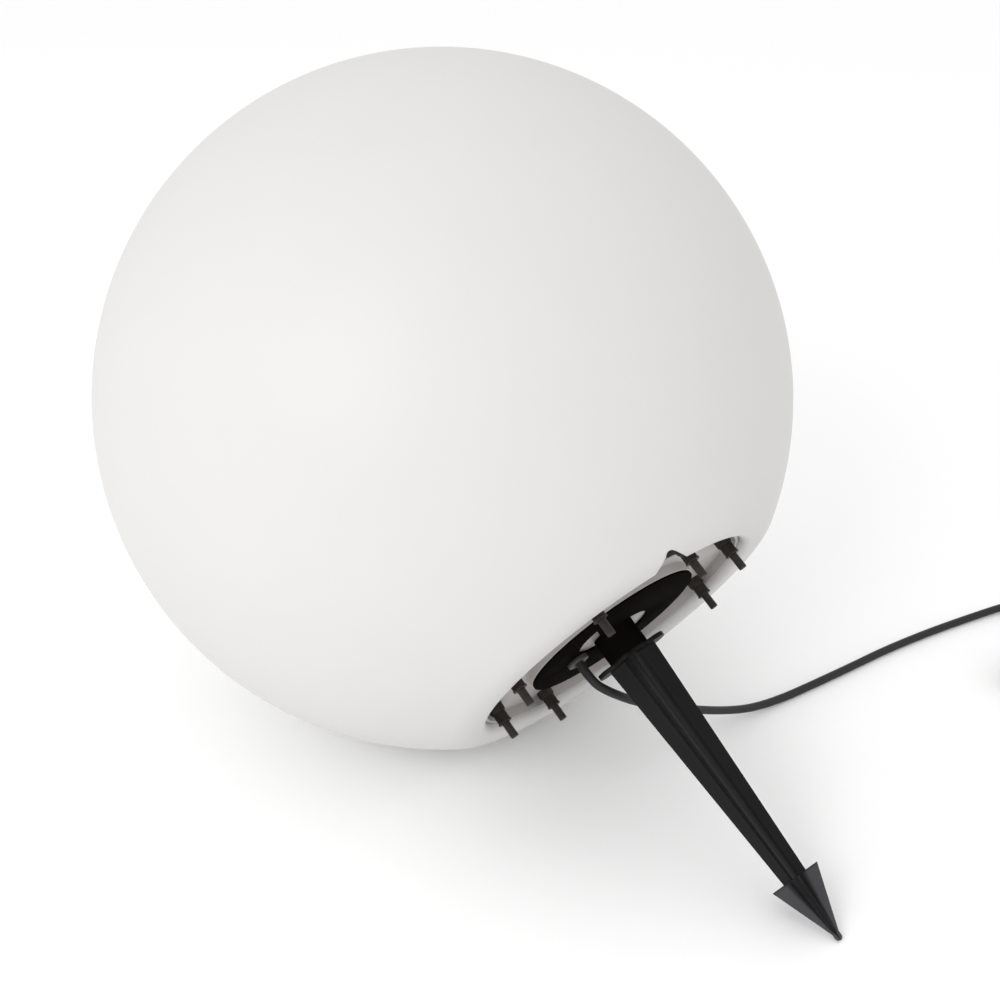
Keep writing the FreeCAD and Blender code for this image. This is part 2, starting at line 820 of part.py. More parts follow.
def shift_outline(points, offset):
    return [(x + offset, y) for x, y in points]


def turned_beside(name, points, x):
    """A turned piece whose own axis stands beside the lamp's, at the distance x."""
    body = new_body(name)
    sketch = new_sketch(body, "XZ_Plane")
    add_outline(sketch, points)
    feature = body.newObject("PartDesign::Revolution", name + "_turned")
    feature.Profile = sketch
    feature.ReferenceAxis = (sketch, ["V_Axis"])
    feature.Angle = 360.0
    document.recompute()
    check(feature)
    offsets[name] = x
    return body


offsets = {}


def make_gland_body():
    bore = s.cable_radius + s.gland_seal_wall
    low = boss_level - s.gland_length
    points = [
        (bore, low),
        (s.gland_thread, low),
        (s.gland_thread, disc_level),
        (s.gland_radius, disc_level),
        (s.gland_radius, disc_level + s.gland_flange),
        (bore, disc_level + s.gland_flange),
    ]
    return turned_beside("gland_body", points, -s.gland_offset)


def make_gland_seal():
    """The rubber sleeve that grips the cable inside the gland."""
    outer = s.cable_radius + s.gland_seal_wall - s.fit_gap
    inner = s.cable_radius + s.fit_gap
    low = boss_level - s.gland_length / 2
    points = ring_points(inner, outer, low, disc_level + s.gland_flange)
    return turned_beside("gland_seal", points, -s.gland_offset)


def make_gland_locknut():
    low = boss_ceiling - s.gland_nut_height
    points = ring_points(s.gland_thread + s.fit_gap, s.gland_nut_flats / 2, low, boss_ceiling)
    return turned_beside("gland_locknut", points, -s.gland_offset)


def cable_route(placement):
    """The route of the free cable, from the gland to the coil."""
    exit_level = disc_level.value + s.gland_flange.value
    start = placement.multVec(Vector(-s.gland_offset.value, 0, exit_level))
    way = placement.Rotation.multVec(Vector(0, 0, 1))
    print("cable leaves at", start, "towards", way)
    return [start, start + way * EXIT_RUN] + list(CABLE_POINTS)


def make_inner_cable():
    """The cable inside the base, from the gland to the side of the terminal block."""
    start = disc_level.value + s.gland_flange.value
    x = -s.gland_offset.value
    below_gland = boss_level.value - s.gland_length.value - 12.0
    block_y = (s.bracket_reach + s.bracket_strip + s.block_size / 2).value
    level = plate_level.value + 14.0
    side = -s.block_length.value / 2.0
    return [
        Vector(x, 0, start),
        Vector(x, 0, below_gland),
        Vector(x + 4.0, block_y, level),
        Vector(side, block_y, level),
    ]


def build_pipe(name, route, radius):
    """A round bar along straight runs that tangent arcs join."""
    wire = rounded_wire(name, route)
    start = route[0]
    profile = Part.Wire(Part.Circle(start, route[1] - start, radius).toShape())
    shape = wire.makePipeShell([profile], True, False)
    expected = math.pi * radius * radius * wire.Length
    if abs(shape.Volume - expected) > 0.01 * expected:
        raise RuntimeError("%s: volume %.0f, expected %.0f" % (name, shape.Volume, expected))
    return add_shape(name, shape)


def rounded_wire(name, route):
    """Straight runs joined by arcs as large as the two runs beside them allow."""
    edges = []
    place = route[0]
    radii = []
    for number in range(1, len(route) - 1):
        corner = route[number]
        back = route[number - 1] - corner
        ahead = route[number + 1] - corner
        reach = 0.45 * min(back.Length, ahead.Length)
        back.normalize()
        ahead.normalize()
        turn = math.pi - back.getAngle(ahead)
        radii.append(reach / math.tan(turn / 2.0))
        first = corner + back * reach
        last = corner + ahead * reach
        inward = (back + ahead).normalize()
        away = math.hypot(radii[-1], reach) - radii[-1]
        middle = corner + inward * away
        edges.append(Part.LineSegment(place, first).toShape())
        edges.append(Part.Arc(first, middle, last).toShape())
        place = last
    edges.append(Part.LineSegment(place, route[-1]).toShape())
    print(name, "radii", " ".join("%.0f" % radius for radius in radii))
    return Part.Wire(edges)


# ---- the lamp holder and its bracket ----


def make_lamp_bracket():
    """Bent steel strip: a foot under the lock nut, two legs and a plate for the holder."""
    body = new_body("lamp_bracket")
    sketch = new_sketch(body, "YZ_Plane")
    reach = s.bracket_reach
    strip = s.bracket_strip
    points = [
        (-reach - strip, boss_ceiling),
        (-reach - strip, plate_level),
        (reach + strip, plate_level),
        (reach + strip, boss_ceiling),
    ]
    add_outline(sketch, points)
    inner = [
        (-reach, bracket_level),
        (-reach, plate_level + strip),
        (reach, plate_level + strip),
        (reach, bracket_level),
    ]
    add_outline(sketch, inner)
    pad(body, sketch, s.bracket_width, both_ways=True)
    foot = new_sketch(body, "XY_Plane", boss_ceiling)
    add_circle(foot, 0, 0, s.neck_radius + s.hole_gap)
    pocket(body, foot, strip)
    top = new_sketch(body, "XY_Plane", plate_level + strip)
    add_circle(top, 0, 0, s.nipple_radius + s.hole_gap)
    pocket(body, top, strip + 1)
    return body


def make_holder_nipple():
    return make_ring(
        "holder_nipple",
        s.nipple_radius - 1.5,
        s.nipple_radius,
        plate_level - 6,
        plate_level + s.bracket_strip + 6,
    )


def make_nipple_nut():
    low = plate_level + s.bracket_strip
    return make_ring(
        "nipple_nut", s.nipple_radius + s.fit_gap, s.nipple_radius + 3.5, low, low + 3
    )


def make_holder_cap():
    """The upper half of the lamp holder, screwed to the nipple."""
    body = new_body("holder_cap")
    low = plate_level - s.holder_cap_height
    inner = s.holder_radius - s.holder_wall
    shoulder = s.holder_radius * 0.62
    bore = s.nipple_radius + s.fit_gap
    points = [
        (inner, low),
        (s.holder_radius, low),
        (s.holder_radius, plate_level - 7),
        (shoulder, plate_level),
        (bore, plate_level),
        (bore, plate_level - s.holder_wall),
        (shoulder - 1, plate_level - s.holder_wall),
        (inner, plate_level - 7 - s.holder_wall / 2),
    ]
    turn_solid(body, points)
    return body


def make_holder_barrel():
    """The lower half of the lamp holder, round the bulb's screw cap."""
    body = new_body("holder_barrel")
    top = plate_level - s.holder_cap_height
    low = top - s.holder_barrel_height
    inner = s.holder_radius - s.holder_wall
    points = [
        (inner, low),
        (s.holder_radius - 1, low),
        (s.holder_radius, low + 4),
        (s.holder_radius, top),
        (inner, top),
    ]
    turn_solid(body, points)
    return body


def make_holder_insert():
    """The ceramic core that carries the screw shell and the contact."""
    body = new_body("holder_insert")
    top = plate_level - s.holder_cap_height + 6
    inner = s.holder_radius - s.holder_wall - 0.2
    shell = s.thread_radius + s.thread_wall + s.fit_gap * 2
    floor = top - 6
    low = floor - s.cap_length * 0.5
    points = [
        (0, floor),
        (shell, floor),
        (shell, low),
        (inner, low),
        (inner, top),
        (0, top),
    ]
    turn_solid(body, points)
    return body


def make_screw_shell():
    top = plate_level - s.holder_cap_height
    inner = s.thread_radius + s.fit_gap
    return make_ring(
        "screw_shell", inner, inner + s.thread_wall, top - s.cap_length * 0.8, top
    )


def make_centre_contact():
    top = plate_level - s.holder_cap_height
    return make_ring("centre_contact", as_size(0), as_size(4.5), top - 1, top)


def make_bulb_cap():
    """The bulb's screw cap with its rolled thread and its contact."""
    body = new_body("bulb_cap")
    top = plate_level - s.holder_cap_height - 1
    low = top - s.cap_length
    points = [
        (0, low),
        (s.thread_radius, low),
        (s.thread_radius, top - 5),
        (4.2, top - 1.5),
        (4.2, top),
        (0, top),
    ]
    turn_solid(body, points)
    return body


def make_bulb_housing():
    body = new_body("bulb_housing")
    top = plate_level - s.holder_cap_height - 1 - s.cap_length
    low = top - s.bulb_housing_length
    points = [
        (0, low),
        (s.bulb_radius - 1, low),
        (s.bulb_radius - 1, low + 5),
        (s.thread_radius + 1, top),
        (0, top),
    ]
    arcs = {2: (s.bulb_housing_length * 1.8, -1)}
    turn_solid(body, points, arcs)
    return body


def make_bulb_dome():
    body = new_body("bulb_dome")
    top = plate_level - s.holder_cap_height - 1 - s.cap_length - s.bulb_housing_length
    rest = s.bulb_radius - 1.6
    points = [
        (0, top - s.bulb_radius),
        (s.bulb_radius, top),
        (rest, top),
        (0, top - rest),
    ]
    arcs = {0: (s.bulb_radius, 1), 2: (rest, -1)}
    turn_solid(body, points, arcs)
    return body


def make_terminal_block():
    body = new_body("terminal_block")
    level = plate_level + 6
    sketch = new_sketch(body, "XY_Plane", level)
    near = s.bracket_reach + s.bracket_strip
    far = near + s.block_size
    half = s.block_length / 2
    points = [(-half, near), (half, near), (half, far), (-half, far)]
    add_outline(sketch, points)
    pad(body, sketch, s.block_size)
    return body


# ---- the ground spike ----


def star(half, root_reach, edge):
    """The cross section of the spike: four fins that thicken towards the middle."""
    tip = edge / 2
    return [
        (half, -tip),
        (half, tip),
        (root_reach, root_reach),
        (tip, half),
        (-tip, half),
        (-root_reach, root_reach),
        (-half, tip),
        (-half, -tip),
        (-root_reach, -root_reach),
        (-tip, -half),
        (tip, -half),
        (root_reach, -root_reach),
    ]


def star_sketch(body, level, half, root_reach, edge):
    sketch = new_sketch(body, "XY_Plane", level)
    add_outline(sketch, star(half, root_reach, edge))
    return sketch


def add_loft(body, first, last):
    loft = body.newObject("PartDesign::AdditiveLoft", body.Label + "_loft")
    loft.Profile = first
    loft.Sections = [last]
    loft.Ruled = True
    document.recompute()
    check(loft)
    return loft


def make_spike():
    """One black moulding: a spigot with two bayonet lugs, a winged flange, a tapered shaft of
    four fins and an arrow head with a round tip."""
    body = new_body("spike")
    level = s.flange_level
    under = level + s.flange_thickness
    lug_low = hub_level - s.socket_depth + 0.5
    lug_high = hub_level - s.socket_depth + s.bayonet_height - 0.5
    spigot = s.socket_radius - s.fit_gap
    tip_centre = s.spike_end - s.tip_radius
    points = [(0, lug_low), (spigot, lug_low), (spigot, under), (0, under)]
    turn_solid(body, points)
    add_wings(body, level)
    add_lugs(body, lug_low, lug_high)
    top = star_sketch(
        body, under - 0.5, s.shaft_top_half, s.shaft_top_half * s.fin_root, s.fin_edge
    )
    end = star_sketch(
        body, s.arrow_level + 1, s.shaft_end_half, s.shaft_end_half * s.fin_root, s.fin_edge
    )
    add_loft(body, top, end)
    shoulder = star_sketch(body, s.arrow_level, s.arrow_half, s.arrow_root, s.fin_edge)
    point = star_sketch(body, tip_centre - 3, s.tip_radius, s.tip_radius * 0.7, s.fin_edge * 0.6)
    add_loft(body, shoulder, point)
    points = [
        (0, tip_centre - 8),
        (s.tip_radius, tip_centre - 8),
        (s.tip_radius, tip_centre),
        (0, s.spike_end),
    ]
    turn_solid(body, points, {2: (s.tip_radius, 1)})
    return body


def add_wings(body, level):
    """The flat flange whose two round ends serve as wings to turn the spike by."""
    sketch = new_sketch(body, "XY_Plane", level)
    half = s.flange_width / 2
    end = s.flange_span / 2
    reach = end - half
    points = [
        (-reach, -half), (reach, -half), (end, 0), (reach, half), (-reach, half), (-end, 0),
    ]
    arcs = {1: (half, 1), 2: (half, 1), 4: (half, 1), 5: (half, 1)}
    add_outline(sketch, points, arcs)
    pad(body, sketch, s.flange_thickness)
    collar = new_sketch(body, "XY_Plane", level)
    add_circle(collar, 0, 0, s.hub_radius)
    pad(body, collar, s.flange_thickness)


def add_lugs(body, low, high):
    sketch = new_sketch(body, "XY_Plane", low)
    half = s.bayonet_width / 2 - 0.5
    corner = s.socket_radius + s.bayonet_groove - 0.5
    reach = root(corner * corner - half * half)
    points = [(-reach, -half), (reach, -half), (reach, half), (-reach, half)]
    add_outline(sketch, points)
    pad(body, sketch, high - low)


# ---- laying the lamp down ----


def lamp_placement():
    """The globe and the spike's tip rest on z = 0, the lamp's axis points along +X and down,
    and the origin is under the middle of the lamp."""
    radius = s.globe_radius.value
    tip = s.tip_radius.value
    reach = s.spike_end.value - tip
    fall = math.asin((radius - tip) / reach)
    length_end = reach * math.cos(fall) + tip
    shift = (length_end - radius) / 2.0
    lay = FreeCAD.Rotation(Vector(0, 1, 0), 90.0 + math.degrees(fall))
    roll = FreeCAD.Rotation(Vector(0, 0, 1), s.roll_angle.value)
    return FreeCAD.Placement(Vector(-shift, 0, radius), lay.multiply(roll))


# ---- the coil, its tie and the plug, on the floor beyond the lamp ----


def coil_heading():
    last = CABLE_POINTS[-1] - CABLE_POINTS[-2]
    return Vector(last.x, last.y, 0).normalize()


def coil_frame():
    """The coil's centre on the route's level, the angle at which it begins, and its first
    and last radius. It winds clockwise, and leaves the route's heading smoothly."""
    heading = coil_heading()
    pitch = s.coil_pitch.value
    outer = s.coil_middle.value + pitch * s.coil_turns_in.value / 2.0
    inner = outer - pitch * s.coil_turns_in.value
    lean = math.atan2(pitch, 2.0 * math.pi * outer)
    angle = math.atan2(heading.x, -heading.y) + lean
    start = CABLE_POINTS[-1] + heading * (2.0 * s.cable_radius.value)
    centre = start - Vector(math.cos(angle), math.sin(angle), 0) * outer
    return centre, angle, outer, inner


def coil_turns():
    return s.coil_turns_in.value + s.coil_turns_out.value


def coil_point(turns):
    """The wire's centre after so many turns, counted from the outside of the lower layer."""
    centre, angle, outer, inner = coil_frame()
    pitch = s.coil_pitch.value
    turns_in = s.coil_turns_in.value
    if turns <= turns_in:
        radius = outer - pitch * turns
    else:
        radius = inner + pitch * (turns - turns_in)
    lift = pitch * smooth((turns - turns_in + 0.25) / 0.5)
    angle -= 2.0 * math.pi * turns
    return centre + Vector(radius * math.cos(angle), radius * math.sin(angle), lift)


def smooth(share):
    """Goes from 0 to 1 with level ends."""
    share = min(max(share, 0.0), 1.0)
    return share * share * (3.0 - 2.0 * share)


def coil_tangent(turns):
    """The wire's direction, which is the mean of both sides where the spiral reverses."""
    step = 0.001
    low = max(turns - step, 0.0)
    high = min(turns + step, coil_turns())
    return (coil_point(high) - coil_point(low)).normalize()


def biarc(start, start_way, end, end_way):
    """Two arcs that leave start and reach end in the given directions and meet smoothly."""
    gap = end - start
    both = start_way + end_way
    square = 2.0 * (1.0 - start_way.dot(end_way))
    along = gap.dot(both)
    reach = (-along + math.sqrt(along * along + square * gap.dot(gap))) / square
    first_corner = start + start_way * reach
    last_corner = end - end_way * reach
    joint = (first_corner + last_corner) * 0.5
    return [
        arc_through(start, first_corner, joint),
        arc_through(joint, last_corner, end),
    ]


def arc_through(start, corner, end):
    """The arc that touches both lines of a corner at start and at end."""
    middle = (start + end) * 0.5
    rise = corner - middle
    half = (end - start).Length / 2.0
    height = rise.Length
    sagitta = half * math.tan(0.5 * math.atan2(height, half))
    top = middle + rise.normalize() * sagitta
    return Part.Arc(start, top, end).toShape()


def make_cord_coil():
    """Both layers of the coil as one unbroken tube, with a straight end on each side."""
    total = coil_turns()
    steps = int(round(total * 2))
    places = [coil_point(total * number / steps) for number in range(steps + 1)]
    ways = [coil_tangent(total * number / steps) for number in range(steps + 1)]
    straight = 2.0 * s.cable_radius.value
    begin = places[0] - ways[0] * straight
    edges = [Part.LineSegment(begin, places[0]).toShape()]
    for number in range(steps):
        edges += biarc(places[number], ways[number], places[number + 1], ways[number + 1])
    edges.append(Part.LineSegment(places[-1], coil_end()[0]).toShape())
    wire = Part.Wire(edges)
    radius = s.cable_radius.value
    profile = Part.Wire(Part.Circle(begin, ways[0], radius).toShape())
    shape = wire.makePipeShell([profile], True, False)
    add_shape("cord_coil", shape)
    report_coil(wire.Length, shape.Volume)


def report_coil(length, volume):
    """Prints the coil's least gap to itself, measured between points of its line."""
    total = coil_turns()
    per_turn = 90
    count = int(total * per_turn)
    samples = [coil_point(total * number / count) for number in range(count + 1)]
    near = 1e9
    for number, place in enumerate(samples):
        for other in range(number + per_turn // 2, len(samples)):
            near = min(near, (samples[other] - place).Length)
    expected = math.pi * s.cable_radius.value ** 2 * length
    print("coil gap %.2f length %.0f" % (near - 2 * s.cable_radius.value, length))
    print("coil volume %.0f expected %.0f" % (volume, expected))


def coil_end():
    """Where the coil's last straight end stops, and its direction."""
    total = coil_turns()
    way = coil_tangent(total)
    return coil_point(total) + way * (2.0 * s.cable_radius.value), way


def plug_frame():
    """Where the plug's sleeve begins, and the direction in which the plug points."""
    start, way = coil_end()
    heading = Vector(way.x, way.y, 0).normalize()
    begin = start + heading * s.tail_length.value
    begin.z = s.plug_radius.value + 0.1
    return begin, heading


def make_cord_tail():
    """The last stretch, from the coil up to the plug's sleeve."""
    start, way = coil_end()
    begin, heading = plug_frame()
    length = s.tail_length.value
    route = [start, start + heading * (length * 0.3), begin - heading * (length * 0.3), begin]
    build_pipe("cord_tail", route, s.cable_radius.value)


def placed_beside(item):
    """Lays a piece drawn along +Z down along the plug's heading."""
    place, heading = plug_frame()
    turn = FreeCAD.Rotation(Vector(0, 0, 1), heading)
    item.Placement = FreeCAD.Placement(place, turn)


def make_plug_relief():
    """The tapered rubber sleeve at the plug."""
    body = new_body("plug_relief")
    thin = s.cable_radius + 1.2
    thick = s.cable_radius + 3.4
    points = [(0, 0), (thin, 0), (thick, s.plug_relief), (0, s.plug_relief)]
    turn_solid(body, points)
    placed_beside(body)


def make_plug_body():
    """Round rubber plug with a waist for the fingers."""
    body = new_body("plug_body")
    low = s.plug_relief
    high = low + s.plug_length
    waist = s.plug_radius * 0.72
    shoulder = low + s.plug_length * 0.12
    waist_end = low + s.plug_length * 0.45
    wide = low + s.plug_length * 0.66
    points = [
        (0, low),
        (s.plug_radius * 0.5, low),
        (waist, shoulder),
        (waist, waist_end),
        (s.plug_radius, wide),
        (s.plug_radius, high),
        (0, high),
    ]
    turn_solid(body, points, {3: (s.plug_length * 0.4, -1)})
    placed_beside(body)


def make_plug_pins():
    base = s.plug_relief.value + s.plug_length.value
    length = s.pin_length.value
    radius = s.pin_radius.value
    pins = []
    for side in (-0.5, 0.5):
        at = Vector(0, side * s.pin_spacing.value, base)
        pin = Part.makeCylinder(radius, length, at)
        tip = [edge for edge in pin.Edges if edge.Closed
               and abs(edge.BoundBox.ZMin - base - length) < 1e-6]
        pins.append(pin.makeFillet(radius * 0.6, tip))
    placed_beside(add_shape("plug_pins", Part.makeCompound(pins)))


def make_coil_tie():
    """A strap round the bundle of turns on one side of the coil."""
    centre, angle, outer, inner = coil_frame()
    wire = s.cable_radius.value
    slack = 0.4
    side_slack = 1.0
    wall = s.tie_thickness.value
    places = []
    turn = s.tie_turn.value
    while turn < coil_turns():
        place = coil_point(turn) - centre
        places.append((math.hypot(place.x, place.y), place.z))
        turn += 1.0
    near = min(radius for radius, lift in places) - wire - side_slack
    far = max(radius for radius, lift in places) + wire + side_slack
    low = min(lift for radius, lift in places) - wire - slack
    high = max(lift for radius, lift in places) + wire + slack
    half = s.tie_width.value / 2.0
    start = Vector(near - wall, -half, low - wall)
    outside = Part.makeBox(far - near + 2 * wall, 2 * half, high - low + 2 * wall, start)
    inside = Part.makeBox(far - near, 2 * half, high - low, Vector(near, -half, low))
    corners = [edge for edge in outside.Edges if edge.BoundBox.YLength > half]
    strap = outside.makeFillet(wall * 2, corners).cut(inside)
    item = add_shape("coil_tie", strap)
    turned = math.degrees(angle) - 360.0 * s.tie_turn.value
    item.Placement = FreeCAD.Placement(centre, FreeCAD.Rotation(Vector(0, 0, 1), turned))


LAMP_PIECES = (
    make_globe_shell,
    make_base_pan,
    make_gasket,
    make_backing_ring,
    make_studs,
    make_stud_washers,
    make_stud_nuts,
    make_stud_sleeves,
    make_notch_clip,
    make_carrier,
    make_carrier_locknut,
    make_lamp_bracket,
    make_holder_nipple,
    make_nipple_nut,
    make_holder_cap,
    make_holder_barrel,
    make_holder_insert,
    make_screw_shell,
    make_centre_contact,
    make_bulb_cap,
    make_bulb_housing,
    make_bulb_dome,
    make_terminal_block,
    make_spike,
)


def main():
    os.makedirs("parts", exist_ok=True)
    placement = lamp_placement()
    for make in LAMP_PIECES:
        make().Placement = placement
    for make in (make_gland_body, make_gland_seal, make_gland_locknut):
        piece = make()
        x = offsets[piece.Label].value
        piece.Placement = placement.multiply(FreeCAD.Placement(Vector(x, 0, 0), FreeCAD.Rotation()))
    cable = build_pipe("inner_cable", make_inner_cable(), s.cable_radius.value)
    cable.Placement = placement
    build_pipe("cord_stretch", cable_route(placement), s.cable_radius.value)
    make_cord_coil()
    make_cord_tail()
    make_plug_relief()
    make_plug_body()
    make_plug_pins()
    make_coil_tie()
    document.recompute()
    for item in document.Objects:
        check(item)
    for name, item in bodies.items():
        if item.Shape.isNull() or not item.Shape.isValid():
            raise RuntimeError("%s has no valid shape" % name)
    for name, item in bodies.items():
        item.Shape.exportStep("parts/%s.step" % name)
        print(name, len(item.Shape.Solids), round(item.Shape.Volume))


main()
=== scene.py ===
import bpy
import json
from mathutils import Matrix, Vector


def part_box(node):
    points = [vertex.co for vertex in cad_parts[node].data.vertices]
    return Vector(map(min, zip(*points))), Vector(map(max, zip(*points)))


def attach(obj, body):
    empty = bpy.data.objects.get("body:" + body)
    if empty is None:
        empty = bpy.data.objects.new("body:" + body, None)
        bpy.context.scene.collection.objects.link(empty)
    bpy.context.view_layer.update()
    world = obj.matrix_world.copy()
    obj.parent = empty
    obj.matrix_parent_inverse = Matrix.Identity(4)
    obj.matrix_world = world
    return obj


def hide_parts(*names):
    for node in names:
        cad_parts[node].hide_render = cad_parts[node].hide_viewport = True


bl_info = {
    "name": "Garden globe light",
    "version": (1, 0, 0),
    "blender": (4, 5, 0),
    "location": "3D View > Sidebar > Globe light",
    "description": "Models and finishes a garden globe light round its fixed frame",
    "category": "Object",
}

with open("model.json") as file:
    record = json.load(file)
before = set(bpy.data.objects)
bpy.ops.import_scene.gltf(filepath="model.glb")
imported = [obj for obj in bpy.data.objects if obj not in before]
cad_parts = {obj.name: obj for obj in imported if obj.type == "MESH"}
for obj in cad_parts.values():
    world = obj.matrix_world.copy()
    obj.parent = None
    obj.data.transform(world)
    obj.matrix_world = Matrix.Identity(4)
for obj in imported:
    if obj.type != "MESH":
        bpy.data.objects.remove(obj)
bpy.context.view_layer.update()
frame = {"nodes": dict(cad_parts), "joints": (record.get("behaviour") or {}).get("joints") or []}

import json
import math

import bpy
from bpy.props import FloatProperty, FloatVectorProperty, IntProperty, PointerProperty
from mathutils import Matrix, Vector

MM = 0.001
GLOBE_RADIUS = 0.250

# The lamp's own frame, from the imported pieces: its origin is the globe's centre, +Z runs along
# the lamp's axis towards the spike's tip, and +X and +Y lie along the spike's fins. FALL is
# how far that axis dips below the level, and ROLL is the lamp's turn about it.
AXIS = Vector(frame["joints"][0]["axis"])
GLOBE_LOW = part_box("globe_shell")[0]
GLOBE_CENTRE = Vector((GLOBE_LOW[0] + GLOBE_RADIUS, 0.0, GLOBE_RADIUS))
FALL = math.asin(-AXIS.z)
ROLL = math.radians(128.5)
LAMP = (
    Matrix.Translation(GLOBE_CENTRE)
    @ Matrix.Rotation(math.pi / 2 + FALL, 4, "Y")
    @ Matrix.Rotation(ROLL, 4, "Z")
)

# Where the cable leaves the gland, in the lamp's own frame, and its straight run from there,
# in millimetres.
GLAND_MOUTH = (-32.0, 0.0, 212.9)
EXIT_RUN = 16.0

# The cable's route after that run, in millimetres. It is the route of the cable's solids, drawn
# a few millimetres closer to the spike just past the flange.
CABLE_POINTS = (
    (122.5, -21.0, 104.2),
    (126.6, -11.0, 96.5),
    (126.4, 8.0, 82.0),
    (124.6, 40.5, 60.8),
    (123.9, 77.5, 38.9),
    (124.2, 113.5, 20.2),
    (126.4, 146.0, 7.4),
    (131.4, 178.0, 3.4),
    (137.2, 216.0, 3.4),
    (143.0, 257.2, 3.4),
    (148.0, 299.0, 3.4),
    (157.0, 347.2, 3.4),
    (168.5, 395.0, 3.4),
    (182.5, 440.5, 4.9),
    (200.0, 484.0, 4.9),
)


def hex_colour(code):
    """An sRGB hex value as a linear colour."""
    channels = [int(code[place:place + 2], 16) / 255 for place in (0, 2, 4)]
    linear = [
        channel / 12.92 if channel <= 0.04045 else ((channel + 0.055) / 1.055) ** 2.4
        for channel in channels
    ]
    return (*linear, 1.0)


def smooth_step(share):
    """An ease from 0 to 1, without a kink at either end."""
    share = min(max(share, 0.0), 1.0)
    return share * share * (3.0 - 2.0 * share)


# ---- the sizes and colours that a user may change ----


class GlobeSizes(bpy.types.PropertyGroup):
    """Sizes of the moulded globe and its base."""

    radius: FloatProperty(name="Radius", description="Outside radius of the globe",
                          default=GLOBE_RADIUS, unit="LENGTH")
    wall: FloatProperty(name="Wall", description="Wall of the globe", default=0.004, unit="LENGTH")
    rim_level: FloatProperty(name="Rim level", description="Rim, from the globe's centre",
                             default=0.2145, unit="LENGTH")
    rim_round: FloatProperty(name="Rim round", description="Round from the globe into the rim",
                             default=0.033, unit="LENGTH")
    recess: FloatProperty(name="Recess", description="Radius of the recess in the base",
                          default=0.108, unit="LENGTH")
    recess_round: FloatProperty(name="Recess round", description="Round into the recess",
                                default=0.006, unit="LENGTH")
    lip_level: FloatProperty(name="Lip level", description="Lip in the recess, from the centre",
                             default=0.1965, unit="LENGTH")
    mouth: FloatProperty(name="Mouth", description="Radius of the opening inside the lip",
                         default=0.086, unit="LENGTH")
    notch_angle: FloatProperty(name="Notch angle", description="Direction of the cable notch",
                               default=math.radians(61.0), subtype="ANGLE")
    notch_way: FloatProperty(name="Notch way", description="Direction in which the notch runs",
                             default=math.radians(94.3), subtype="ANGLE")
    notch_reach: FloatProperty(name="Notch reach", description="Deepest cut of the notch",
                               default=0.016, unit="LENGTH")


class StudSizes(bpy.types.PropertyGroup):
    """Sizes and places of the studs in the base."""

    count: IntProperty(name="Count", description="Number of studs", default=8)
    circle: FloatProperty(name="Circle", description="Radius of the circle of studs",
                          default=0.0975, unit="LENGTH")
    clock: FloatProperty(name="Clock", description="Turn of the circle of studs",
                         default=math.radians(1.7), subtype="ANGLE")
    radius: FloatProperty(name="Radius", description="Radius of the thread's crest",
                          default=0.003, unit="LENGTH")
    shank: FloatProperty(name="Shank", description="Radius of the shank",
                         default=0.00268, unit="LENGTH")
    shank_start: FloatProperty(name="Shank start", description="Outer face of the head",
                               default=0.1895, unit="LENGTH")
    seat: FloatProperty(name="Seat", description="Start of the free end", default=0.2155,
                        unit="LENGTH")
    tip: FloatProperty(name="Tip", description="End of the stud", default=0.2275, unit="LENGTH")
    head: FloatProperty(name="Head", description="Height of the head", default=0.004,
                        unit="LENGTH")
    flats: FloatProperty(name="Flats", description="Across flats of the head", default=0.010,
                         unit="LENGTH")


class CableSizes(bpy.types.PropertyGroup):
    """Sizes of the cable and of its put-away coil."""

    diameter: FloatProperty(name="Diameter", description="Outside diameter of the cable",
                            default=0.0064, unit="LENGTH")
    length: FloatProperty(name="Length", description="Length of the cable up to its plug",
                          default=1.87, unit="LENGTH")
    turns_in: FloatProperty(name="Turns in", description="Turns of the coil's lower layer",
                            default=3.0)
    turns_out: FloatProperty(name="Turns out", description="Turns of the coil's upper layer",
                             default=2.5)
    pitch: FloatProperty(name="Pitch", description="Distance between neighbouring turns",
                         default=0.007, unit="LENGTH")
    middle: FloatProperty(name="Middle", description="Radius at the middle of the turns",
                          default=0.037, unit="LENGTH")
    tail: FloatProperty(name="Tail", description="Free cable between the coil and the plug",
                        default=0.044, unit="LENGTH")
    plug_level: FloatProperty(name="Plug level", description="Height of the plug's middle",
                              default=0.0191, unit="LENGTH")


class LampColours(bpy.types.PropertyGroup):
    """Colours of the finishes that show most."""

    globe: FloatVectorProperty(name="Globe", description="White moulded polyethylene",
                               subtype="COLOR", size=4, default=hex_colour("CFCECD"))
    pan: FloatVectorProperty(name="Base pan", description="Grey moulded ABS",
                             subtype="COLOR", size=4, default=hex_colour("ABA6A3"))
    black: FloatVectorProperty(name="Black parts", description="Black moulded nylon",
                               subtype="COLOR", size=4, default=hex_colour("100F10"))
    cable: FloatVectorProperty(name="Cable", description="Black rubber sheath",
                               subtype="COLOR", size=4, default=hex_colour("242325"))
    steel: FloatVectorProperty(name="Studs", description="Blackened steel",
                               subtype="COLOR", size=4, default=hex_colour("38332F"))
    floor: FloatVectorProperty(name="Floor", description="Pale paper under the lamp",
                               subtype="COLOR", size=4, default=hex_colour("FCFCFC"))


# ---- selecting, drawing and finishing meshes ----

SPECK = 0.001 * MM       # points closer than this are one point
CAD_SPECK = 0.002 * MM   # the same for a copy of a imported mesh
FLAT_ANGLE = 0.5         # faces that meet at less than this many degrees are one flat face
SHARP_ANGLE = 32         # edges that turn by more than this many degrees are rounded


def object_mode():
    """Leaves edit mode, if that is where Blender is."""
    if bpy.context.mode != "OBJECT":
        bpy.ops.object.mode_set(mode="OBJECT")


